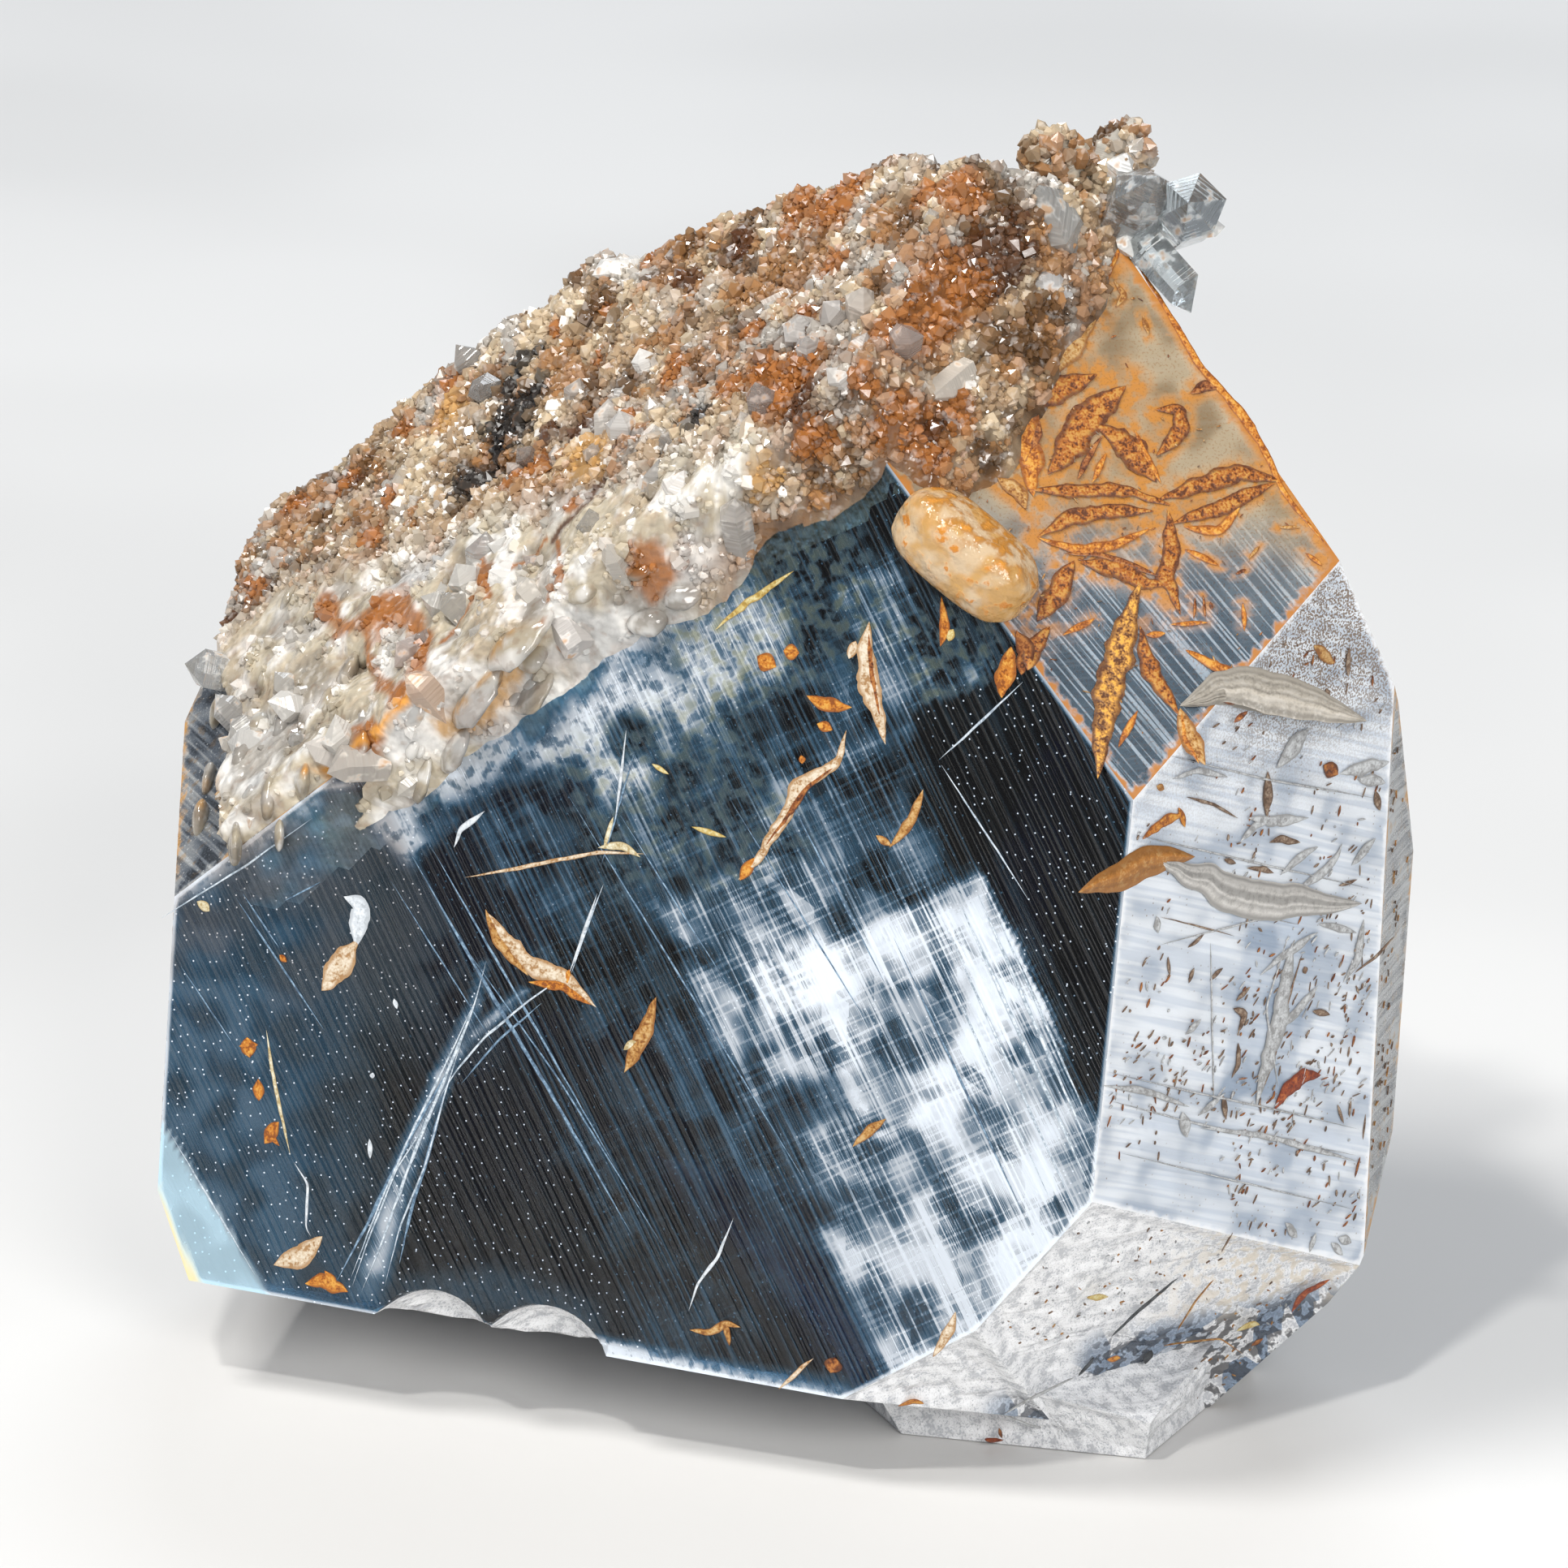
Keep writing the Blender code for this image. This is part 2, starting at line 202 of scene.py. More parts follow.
FRONT_MARKS = read_marks(
    """
    CREAM 0.42  -11.4 -2.3  -10.0 -3.8  -8.4 -4.8  -7.1 -5.1  -5.4 -6.3
    OCHRE 0.27  -11.4 -2.2  -10.7 -3.7  -9.0 -5.2
    ORANGE 0.24  -9.0 -5.5  -7.3 -5.5  -5.7 -6.2
    ORANGE 0.18  -6.9 -4.6  -7.0 -5.4
    OCHRE 0.39  -2.4 -5.4  -2.9 -7.2  -3.8 -9.3
    PALE 0.18  -3.9 -8.2  -3.1 -7.6
    ORANGE 0.36  -23.5 -10.1  -23.3 -11.1
    ORANGE 0.18  -23.9 -10.6  -22.9 -10.4
    ORANGE 0.27  -22.8 -12.1  -22.7 -13.2
    ORANGE 0.33  -21.6 -14.1  -22.3 -15.3
    ORANGE 0.15  -22.3 -14.5  -21.5 -15.3
    PALE 0.10  -22.5 -9.6  -22.0 -12.0  -20.9 -15.7
    WHITE 0.07  -20.7 -16.0  -19.9 -17.0  -19.9 -19.2  -19.6 -19.6
    CREAM 0.48  -19.0 -19.5  -19.9 -20.6  -21.5 -21.3
    ORANGE 0.42  -19.8 -22.0  -18.8 -21.7  -17.5 -22.1
    ORANGE 0.21  -18.8 -21.2  -18.1 -22.0
    WHITE 0.45  -18.8 -2.5  -17.9 -2.8  -17.9 -4.0  -18.0 -4.9
    CREAM 0.57  -17.9 -4.5  -18.7 -5.8  -19.7 -7.3
    OCHRE 0.21  9.6 -9.8  8.8 -10.5  8.0 -11.4
    CREAM 0.27  13.7 -18.7  13.3 -20.0  12.7 -21.1
    OCHRE 0.18  0.3 -21.5  1.3 -21.5  2.2 -20.9  2.9 -21.0
    OCHRE 0.15  2.1 -20.8  2.4 -22.0
    CREAM 0.10  -12.6 -0.8  -10.2 -0.1  -7.7 0.7  -5.8 1.3  -3.3 1.5
    PALE 0.18  -5.8 1.5  -4.6 1.8  -3.6 1.3
    PALE 0.12  -5.1 3.1  -5.5 1.5
    WHITE 0.12  -11.7 2.6  -12.9 1.5  -13.2 0.6
    WHITE 0.08  2.2 -15.7  1.5 -17.8  0.6 -19.1  0.2 -20.6
    OCHRE 0.24  10.4 6.3  9.9 4.7  8.9 3.3
    OCHRE 0.24  8.2 3.8  9.0 3.4
    ORANGE 0.27  2.2 2.0  1.5 0.8
    CREAM 0.33  6.4 8.7  6.1 7.1  4.3 5.9  3.5 4.1  2.4 2.0  1.4 0.8
    RUST 0.18  6.1 7.0  4.7 5.8  3.6 4.1  2.5 2.3
    WHITE 0.07  -4.7 7.4  -4.8 5.5  -5.0 2.8
    WHITE 0.07  -5.7 -0.7  -6.2 -2.5  -6.9 -4.8
    ORANGE 0.18  -22.0 -5.8  -21.6 -6.1
    CREAM 0.12  5.0 -23.8  6.7 -22.0
    RUST 0.42  7.8 -21.8  7.6 -22.6
    WHITE 0.12  -16.8 -11.0  -16.8 -11.3
    WHITE 0.12  -15.9 -7.2  -15.7 -7.7
    WHITE 0.12  -16.8 -14.3  -16.7 -15.3
    PALE 0.24  -26.5 -3.7  -25.8 -4.1
    CREAM 0.47  7.2 14.0  7.1 12.2  7.7 10.2  8.4 8.2
    RUST 0.19  7.2 13.7  7.4 11.7  8.1 9.3
    ORANGE 0.33  4.3 10.1  5.3 9.7  6.6 9.8
    ORANGE 0.25  4.9 8.8  5.7 8.6
    CREAM 0.25  6.6 13.0  6.3 12.1
    ORANGE 0.41  1.7 11.7  2.2 11.5  2.7 11.3
    ORANGE 0.36  3.0 12.1  3.8 12.1
    YELLOW 0.16  -0.5 12.7  1.1 14.3  3.3 16.0
    YELLOW 0.11  -3.3 5.9  -2.4 5.5
    YELLOW 0.14  -1.1 3.1  0.7 2.8
    ORANGE 0.16  4.2 7.2  4.3 6.8
    ORANGE 0.25  10.7 15.6  11.0 14.0  10.8 13.2
    YELLOW 0.25  11.4 14.1  11.2 13.5
    ORANGE 0.49  14.0 11.1  14.1 12.2  14.3 13.6
    RUST 0.49  14.9 12.3  15.0 13.4  14.5 14.4
    """
)
# Hair lines, growth edges and the fibres of the healed fracture in the front face.
# The GLINT lines along them are painted highlights.
FRONT_LINES = read_marks(
    """
    GLINT 0.09  -11.2 -4.7  -11.7 -7.0  -12.6 -9.6  -13.7 -12.6  -14.8 -15.9  -16.0 -19.8  -16.8 -22.0
    GLINT 0.07  -11.6 -6.6  -12.9 -9.8  -14.3 -13.0  -15.9 -16.9  -17.4 -21.4
    GLINT 0.06  -12.2 -8.6  -13.0 -11.6  -13.8 -15.2  -15.0 -18.6  -15.6 -21.6
    HAIR 0.10  -12.6 -9.8  -14.6 -13.8  -16.6 -18.4  -18.2 -21.8
    HAIR 0.10  -12.9 -11.0  -13.6 -14.4  -14.4 -17.4  -14.9 -20.4
    GLINT 0.05  -13.4 -12.4  -15.3 -15.6  -16.6 -19.4  -17.3 -21.8
    GLINT 0.06  -7.0 -4.8  -9.0 -6.5  -11.0 -8.4  -12.5 -10.4  -13.2 -11.7
    HAIR 0.06  -8.2 -6.4  -10.4 -8.6  -12.2 -11.0
    GLINT 0.05  -5.4 -0.2  -6.2 -2.7  -6.8 -4.8
    HAIR 0.05  -4.2 6.4  -5.1 2.6  -5.6 0.6
    HAIR 0.10  -15.6 0.3  -11.1 -6.0  -6.5 -12.2  -2.8 -17.4
    HAIR 0.07  -14.6 0.8  -8.9 -7.1  -3.9 -14.1
    HAIR 0.05  -12.9 -3.6  -7.1 -10.1  -1.2 -17.7
    HAIR 0.05  -7.5 3.9  -0.2 -5.6  6.1 -13.9
    HAIR 0.04  -4.9 3.4  1.4 -4.6
    HAIR 0.04  -16.4 -1.4  -10.4 -9.0
    HAIR 0.04  0.8 4.6  8.6 -5.6
    HAIR 0.05  3.4 5.6  9.2 -3.4
    GLINT 0.09  13.4 1.7  20.1 -10.4
    GLINT 0.06  14.3 1.0  20.1 -9.3
    GLINT 0.10  12.5 1.2  20.1 -12.0
    GLINT 0.06  11.7 0.3  19.5 -13.3
    GLINT 0.05  10.9 -0.2  18.3 -13.1
    HAIR 0.06  9.4 -1.0  16.8 -13.6
    GLINT 0.06  15.0 12.0  13.0 9.8  11.1 7.8
    GLINT 0.05  11.2 7.6  14.6 3.4  16.0 1.6
    HAIR 0.06  -24.5 -3.2  -19.4 -9.3
    HAIR 0.05  -24.1 -3.0  -22.0 -5.5
    HAIR 0.05  -21.9 -3.1  -20.0 -1.9
    HAIR 0.04  -27.2 -7.0  -24.0 -10.8
    GLINT 0.05  -27.5 -15.2  -22.4 -22.0
    GLINT 0.05  -28.4 -4.8  -24.0 -1.6  -20.6 1.2
    """
)
# Growth edges on the pale face.
PALE_LINES = read_marks(
    """
    GREY 0.05  -0.4 -5.4  5.2 -7.9  12.2 -10.9  16.4 -12.8
    GREY 0.06  -0.2 -6.9  5.7 -9.7  12.2 -12.4  16.2 -14.1
    GREY 0.05  1.9 5.8  8.8 2.9  17.4 -0.7
    GREY 0.05  6.6 -0.7  6.6 -8.9
    GREY 0.06  11.8 -1.6  10.2 -4.9  10.9 -9.2
    GREY 0.05  3.3 -0.0  10.3 -0.4  12.5 -1.3
    GREY 0.04  0.2 -9.6  16.1 -16.9
    GREY 0.05  4.1 9.2  10.5 6.5  18.1 3.7
    """
)
STAINED_MARKS = read_marks(
    """
    ORANGE 0.43  15.6 23.0  12.9 19.5  10.5 17.6  8.7 15.5  7.8 12.8
    RUST 0.17  15.3 22.6  13.4 20.1  11.8 19.1  10.4 18.2  9.4 16.7  8.7 15.5  7.0 13.7
    ORANGE 0.19  15.7 22.9  17.3 19.1  18.4 16.2  20.3 13.4  21.2 9.8  23.1 6.6
    ORANGE 0.80  8.5 17.2  8.8 15.2  9.0 13.0  8.8 10.9
    OCHRE 0.48  13.6 19.5  12.3 18.2  10.7 16.7
    STAIN 0.81  9.7 11.9  11.3 13.4  13.1 15.1  14.4 15.9
    STAIN 0.58  9.1 15.1  11.2 16.1  13.1 16.6
    STAIN 0.66  12.5 14.1  13.9 13.0  15.0 11.0
    RUST 0.17  11.1 11.5  12.0 12.8  12.8 13.6
    ORANGE 0.16  11.8 11.3  12.8 12.7
    STAIN 0.35  8.4 11.3  11.3 11.0  13.6 10.7  15.5 9.8
    STAIN 0.39  8.6 8.9  10.4 9.7  12.5 9.9  14.6 9.6
    ORANGE 0.25  8.6 8.9  10.3 8.1  12.1 8.1  14.3 8.8
    RUST 0.16  9.7 8.0  11.6 7.7  13.1 7.0  14.4 6.3
    STAIN 0.50  10.4 7.5  12.1 7.0  13.6 6.2  14.5 5.9
    STAIN 0.43  14.8 10.1  17.3 10.7  19.2 11.1  21.4 10.4
    STAIN 0.39  15.3 8.9  17.0 9.2  19.0 9.9  20.9 10.4
    STAIN 0.47  15.3 9.6  15.1 7.8  14.6 6.5  14.9 4.4
    ORANGE 0.27  15.9 8.7  17.6 8.2  18.9 9.4
    ORANGE 0.17  15.7 7.6  17.3 6.6
    STAIN 0.39  15.6 14.6  16.8 14.5  16.8 13.5  15.2 12.3
    RUST 0.27  17.5 15.2  18.4 15.6  19.0 15.3
    ORANGE 0.23  19.0 15.3  20.1 13.4  20.6 12.1
    ORANGE 0.19  14.4 13.7  14.8 12.1  15.2 10.9
    RUST 0.08  15.8 5.2  15.5 4.1
    RUST 0.08  16.2 5.3  16.1 4.1
    RUST 0.08  16.5 4.9  16.5 4.5
    ORANGE 0.12  14.3 4.0  16.2 3.9
    RUST 0.08  18.0 6.1  18.6 6.3
    OCHRE 0.08  20.6 8.2  21.7 8.1
    ORANGE 0.12  21.7 6.8  22.4 6.1
    OCHRE 0.10  18.8 6.8  19.5 7.4
    ORANGE 0.14  18.1 4.7  17.9 3.3
    STAIN 0.58  7.8 4.8  8.9 6.0  10.2 7.6
    ORANGE 0.16  8.9 4.0  10.7 4.7
    STAIN 0.47  6.9 2.5  7.5 3.6  8.4 4.5
    RUST 0.25  8.6 12.5  9.5 13.8  9.8 14.6
    OCHRE 0.39  7.2 12.0  8.1 11.1  8.3 10.3
    OCHRE 0.14  14.8 21.2  15.2 20.4  14.6 19.8
    OCHRE 0.12  15.9 19.3  16.0 18.3
    LENS 0.66  9.3 -3.1  10.0 -0.8  11.2 2.2  12.2 4.3  13.3 6.3
    ORANGE 0.16  10.6 -1.7  11.9 -0.0
    STAIN 0.43  12.8 4.1  12.9 2.0  13.5 0.6  13.9 -0.5
    ORANGE 0.16  13.0 3.6  14.0 3.6
    ORANGE 0.27  14.8 2.7  16.2 1.7  17.4 1.2
    RUST 0.35  16.0 0.1  17.1 0.2
    RUST 0.17  16.5 -1.1  17.3 -0.6
    SPEAR 1.13  14.0 0.0  17.2 0.8  20.2 -0.5  23.1 -1.7
    OCHRE 0.50  14.0 -0.1  14.1 -1.5  14.7 -3.0
    ORANGE 0.16  14.0 -0.2  14.0 -1.6  14.4 -2.9
    """
)
PALE_MARKS = read_marks(
    """
    SPEAR 0.64  5.5 11.4  8.7 11.1  12.8 9.7  17.3 7.8
    GREY 0.46  13.4 8.4  12.3 7.6  11.2 6.9
    UMBER 0.27  10.6 6.9  10.5 4.5
    RUST 0.37  14.3 6.3  15.3 5.6
    GREY 0.34  15.4 5.6  16.9 5.6  18.8 5.4
    GREY 0.27  16.6 5.1  18.5 4.4
    UMBER 0.21  17.8 4.2  18.1 3.1
    ORANGE 0.30  2.3 5.5  3.6 6.0  5.1 6.1
    ORANGE 0.18  4.7 6.5  5.1 5.4
    OCHRE 0.18  3.3 7.9  3.8 7.6
    OCHRE 0.32  13.8 12.4  14.5 11.8  15.2 11.2
    UMBER 0.18  16.2 11.8  16.1 10.3
    UMBER 0.14  14.6 10.1  14.7 9.5
    UMBER 0.11  15.4 9.0  15.7 8.8
    GREY 0.16  4.3 8.0  6.1 8.0  8.0 7.2
    UMBER 0.09  5.2 6.9  7.0 6.1  8.6 5.0
    GREY 0.21  8.7 3.8  9.7 4.4  10.5 4.3
    GREY 0.27  9.2 4.9  11.4 4.1  13.3 3.9
    UMBER 0.18  10.6 3.3  11.4 3.3  12.7 2.8
    GREY 0.23  12.3 0.5  13.6 0.7  15.2 1.5  15.5 2.1
    GREY 0.23  11.3 1.5  12.6 2.1  13.9 2.3
    UMBER 0.14  7.6 3.2  8.4 2.8
    UMBER 0.14  9.1 2.4  10.1 2.1  10.9 1.7
    UMBER 0.11  15.2 0.0  16.5 -0.0
    RIDGE 0.92  2.9 4.5  6.3 2.5  9.4 0.6  13.2 -0.4  16.8 -1.3
    RIDGE_TIP 0.78  -1.9 3.9  0.1 4.0  2.6 4.3  5.7 3.8
    GREY 0.18  13.8 -1.6  15.4 -2.2  16.4 -2.7
    GREY 0.27  15.4 -5.0  16.4 -4.1  16.9 -2.1
    UMBER 0.09  16.2 -4.7  17.7 -4.2  19.0 -3.5
    GREY 0.55  12.0 -2.1  11.5 -4.6  10.5 -7.0  9.4 -9.7
    UMBER 0.09  12.7 -2.8  11.8 -4.7  11.1 -6.4  10.5 -8.0  9.5 -9.6
    GREY 0.25  9.8 -3.2  11.2 -2.6  13.8 -2.0
    GREY 0.25  11.0 -6.2  12.5 -5.6  13.7 -4.7
    UMBER 0.16  12.8 -3.5  12.9 -3.9
    UMBER 0.16  13.3 -5.9  14.5 -6.4
    UMBER 0.04  3.3 1.4  5.6 0.4  8.2 -0.8
    GREY 0.16  -0.7 -6.0  2.3 -7.1  5.0 -8.6
    GREY 0.16  5.5 -9.2  7.4 -8.5
    GREY 0.34  4.5 -8.7  4.8 -10.1
    GREY 0.16  5.6 -9.8  9.7 -11.3  12.9 -12.8  16.2 -14.4
    REDBROWN 0.43  10.6 -10.3  11.4 -9.4  12.4 -9.1  13.8 -9.3
    UMBER 0.21  8.0 -4.4  8.8 -4.9  8.3 -5.7
    UMBER 0.16  8.3 -6.2  8.3 -7.3  7.8 -7.9
    UMBER 0.16  7.2 -8.6  7.4 -9.9
    GREY 0.21  3.1 1.5  3.2 0.6
    UMBER 0.11  3.8 -0.7  3.9 -1.7
    GREY 0.18  4.8 -4.9  5.9 -4.4
    UMBER 0.14  5.1 -2.4  5.5 -1.7
    UMBER 0.11  5.1 -0.6  6.2 -0.2
    UMBER 0.14  6.5 -2.6  7.4 -2.2
    UMBER 0.14  8.2 -4.1  9.2 -3.6
    UMBER 0.09  15.3 -12.2  14.9 -11.1
    UMBER 0.09  15.7 -12.0  15.8 -11.0
    RUST 0.07  12.0 -13.0  12.9 -12.3
    RUST 0.09  16.0 -15.2  16.4 -14.2
    UMBER 0.07  16.6 -13.4  16.8 -12.1
    GREY 0.23  11.2 -16.2  12.0 -17.2
    GREY 0.18  12.8 -18.2  13.3 -17.3
    GREY 0.21  14.3 -18.1  15.1 -19.0
    GREY 0.23  14.8 -18.0  15.7 -18.5
    GREY 0.23  16.1 0.8  17.8 1.8
    """
)
BEVEL_MARKS = read_marks(
    """
    YELLOW 0.21  5.5 -6.7  6.8 -7.0
    ORANGE 0.21  7.9 -11.7  8.7 -11.8
    YELLOW 0.25  15.2 -11.7  15.9 -11.4  16.5 -11.6
    RUST 0.18  16.4 -13.1  17.0 -12.7
    REDBROWN 0.30  18.2 -11.2  18.6 -9.9  19.9 -9.3
    DARK 0.14  6.5 -12.5  7.1 -11.3
    DARK 0.14  7.7 -10.1  8.9 -8.5  10.6 -6.7
    DARK 0.27  10.3 -12.7  10.4 -11.7
    DARK 0.25  8.1 -14.1  8.9 -13.3
    GREY 0.43  6.4 -16.0  8.2 -15.6  9.6 -14.8
    UMBER 0.05  12.7 -5.5  13.0 -4.2
    OCHRE 0.05  11.6 -10.7  12.1 -8.8  12.8 -7.4
    OCHRE 0.05  11.0 -11.6  12.2 -11.7  14.4 -12.0  16.1 -13.6
    """
)
BEVEL_LOW_MARKS = read_marks(
    """
    ORANGE 0.23  2.1 -9.8  2.8 -9.4  3.4 -9.8
    REDBROWN 0.20  6.9 -13.5  7.9 -13.8
    RUST 0.09  7.5 -12.6  7.8 -13.6
    GREY 0.11  7.6 -11.4  8.9 -10.0  10.7 -8.6
    GREY 0.09  7.6 -11.5  9.3 -12.8  11.3 -13.6
    """
)


@dataclass(frozen=True)
class Needles:
    """Many tiny needle-shaped etch marks strewn over one face."""

    face: str
    count: int
    length: tuple[float, float]
    half_width: tuple[float, float]
    turn: float
    spread: float
    tones: tuple[Tone, ...]
    lower: float
    seed: int


DARK_NEEDLES = (Tone.UMBER, Tone.UMBER, Tone.RUST, Tone.GREY)
STAINED_NEEDLES = (Tone.OCHRE, Tone.RUST, Tone.UMBER)
BEVEL_NEEDLES = (Tone.UMBER, Tone.OCHRE, Tone.GREY)
BROWN_NEEDLES = (Tone.UMBER, Tone.OCHRE)
RUSTY_NEEDLES = (Tone.UMBER, Tone.OCHRE, Tone.RUST)
NEEDLES: tuple[Needles, ...] = (
    Needles("pale", 620, (0.22, 0.70), (0.025, 0.075), 48.0, 26.0, DARK_NEEDLES, 0.75, 5),
    Needles("stained", 120, (0.15, 0.5), (0.02, 0.05), 30.0, 50.0, STAINED_NEEDLES, 0.2, 6),
    Needles("bevel", 130, (0.12, 0.4), (0.02, 0.05), 40.0, 60.0, BEVEL_NEEDLES, 0.0, 7),
    Needles("narrow", 60, (0.2, 0.6), (0.02, 0.05), 60.0, 20.0, BROWN_NEEDLES, 0.4, 8),
    Needles("right_back", 90, (0.3, 0.9), (0.03, 0.08), 40.0, 40.0, RUSTY_NEEDLES, 0.3, 9),
    Needles("back", 140, (0.3, 1.0), (0.03, 0.09), 25.0, 50.0, RUSTY_NEEDLES, 0.3, 10),
    Needles("left", 60, (0.3, 0.9), (0.03, 0.08), 50.0, 30.0, (Tone.OCHRE, Tone.RUST), 0.3, 11),
    Needles("back_left", 90, (0.3, 0.9), (0.03, 0.08), 70.0, 40.0, BROWN_NEEDLES, 0.3, 12),
)


class Rust(Enum):
    """Colours that iron and manganese give the druse."""

    DARK = (0.085, 0.030, 0.010)
    RUST = (0.34, 0.125, 0.030)
    BLACK = (0.016, 0.015, 0.015)
    AMBER = (0.52, 0.30, 0.11)
    ORANGE = (0.78, 0.36, 0.07)


RustLine = tuple[Rust, float, tuple[Point, ...]]


def read_rust(text: str) -> tuple[RustLine, ...]:
    """Reads stains and veins, one a row: colour, radius, then each place from the middle."""
    found = []
    for row in text.strip().splitlines():
        rust, radius, *places = row.split()
        numbers = iter(map(float, places))
        found.append((Rust[rust], float(radius), tuple(zip(numbers, numbers, numbers))))
    return tuple(found)


# Stained places on the druse.
DRUSE_STAINS = read_rust(
    """
    DARK 1.70  10.1 -2.7 31.1
    RUST 1.50  8.0 -4.2 30.3
    RUST 1.50  6.7 -5.7 29.1
    RUST 1.09  5.0 -6.7 28.8
    RUST 1.70  0.4 -5.6 25.4
    DARK 0.96  0.8 -7.3 25.1
    RUST 1.09  -0.9 -3.4 25.1
    RUST 1.50  5.8 -8.5 24.7
    RUST 0.96  8.0 -7.2 24.8
    RUST 0.93  1.4 -8.2 23.4
    DARK 0.98  -4.5 7.7 26.3
    DARK 0.77  -2.0 8.0 28.7
    RUST 1.64  2.5 3.9 31.3
    RUST 1.09  0.8 6.6 30.8
    RUST 1.23  8.3 -1.8 34.4
    RUST 0.82  6.7 -0.3 33.5
    RUST 0.68  -1.4 0.3 26.1
    RUST 0.77  -5.3 2.3 23.3
    BLACK 0.92  -12.3 12.5 20.9
    BLACK 1.35  -13.2 8.9 18.6
    BLACK 0.78  -13.8 8.1 17.7
    BLACK 1.21  -14.7 7.3 16.5
    BLACK 0.64  -11.8 9.3 20.0
    BLACK 0.72  -12.9 11.3 19.8
    BLACK 0.78  -3.9 -2.5 22.7
    DARK 0.71  -9.7 4.7 20.1
    DARK 0.60  -11.2 6.2 19.3
    RUST 1.15  -12.1 4.6 17.8
    AMBER 1.04  -9.0 1.2 19.3
    RUST 1.23  -18.5 2.8 11.1
    RUST 0.66  -17.3 -1.2 10.6
    RUST 0.66  -17.6 -3.6 9.4
    RUST 0.93  -19.6 -3.8 7.3
    RUST 0.82  -21.8 -3.0 5.6
    RUST 0.60  -19.8 10.0 12.8
    DARK 0.49  -21.9 7.9 9.9
    RUST 0.49  -13.8 -0.3 14.2
    RUST 0.66  -18.6 16.4 16.5
    RUST 0.71  -16.1 15.9 18.6
    AMBER 1.09  -16.2 13.9 17.8
    RUST 0.82  -21.8 16.8 13.7
    DARK 0.33  -21.2 16.2 14.0
    RUST 0.60  -26.0 14.3 8.7
    RUST 0.38  -10.9 -5.1 15.0
    RUST 1.09  -6.0 -6.6 16.6
    RUST 0.55  -9.6 -1.4 17.7
    AMBER 0.82  -0.9 -7.7 21.8
    RUST 0.55  -7.2 1.9 21.3
    ORANGE 0.82  -29.2 -0.2 -0.8
    AMBER 1.09  -27.2 3.2 2.4
    RUST 0.68  -24.2 18.0 11.9
    RUST 0.44  -11.1 13.7 22.5
    RUST 0.38  -9.0 9.0 22.5
    RUST 0.71  2.4 0.4 29.7
    RUST 0.71  1.0 -1.0 27.9
    RUST 0.82  -2.5 -2.3 24.1
    RUST 0.71  3.7 -8.7 26.3
    RUST 0.82  6.9 -8.8 23.0
    DARK 0.55  6.9 -8.0 24.4
    DARK 0.38  -27.3 13.9 7.3
    RUST 0.49  -19.0 11.4 14.1
    RUST 0.60  -6.5 13.1 26.5
    RUST 0.44  -8.5 12.0 24.2
    RUST 1.60  -2.0 20.0 24.0
    DARK 1.10  4.0 19.0 22.0
    RUST 1.80  -12.0 24.0 14.0
    BLACK 0.90  -6.0 22.0 18.0
    AMBER 1.50  8.0 14.0 28.0
    RUST 1.40  -20.0 22.0 8.0
    RUST 1.10  -26.0 20.0 4.0
    """
)
# Rusty veins over the glassy part of the druse.
DRUSE_VEINS = read_rust(
    """
    RUST 0.50  -22.0 8.1 10.0  -20.9 4.7 9.5  -19.5 3.7 10.6  -18.0 2.4 11.4  \
        -17.1 0.7 11.5  -16.9 -2.0 10.7  -16.9 -4.1 9.8
    ORANGE 0.30  -16.9 -4.1 9.8  -18.1 -4.1 8.3  -20.4 -3.6 6.7  -22.4 -2.3 5.3
    RUST 0.12  -10.9 -1.9 16.3  -12.8 -1.4 14.7  -13.8 -1.1 14.0  -15.1 -1.7 12.4  \
        -15.9 -2.2 11.5
    RUST 0.26  -14.1 1.7 14.8  -13.9 -0.3 14.2  -13.7 -2.1 13.6
    RUST 0.12  -10.4 -2.6 16.5  -10.2 -5.4 15.5  -10.3 -5.7 12.4
    DARK 0.20  -7.4 1.1 20.8  -8.2 -0.7 19.3  -9.0 -2.0 18.1  -10.6 -2.3 16.4
    RUST 0.30  -19.5 3.7 10.6  -19.6 1.4 9.5  -19.0 -1.0 9.0  -17.4 -3.8 9.4
    AMBER 1.10  -9.3 2.1 19.4  -8.9 0.4 19.1
    AMBER 0.50  -15.9 -4.5 8.2  -13.9 -4.9 9.2  -11.9 -5.4 12.6
    """
)


@dataclass(frozen=True)
class Dome:
    """A smooth rounded lump of the druse: place from the middle, radius, and height over radius."""

    place: Point
    radius: float
    height: float = 0.40


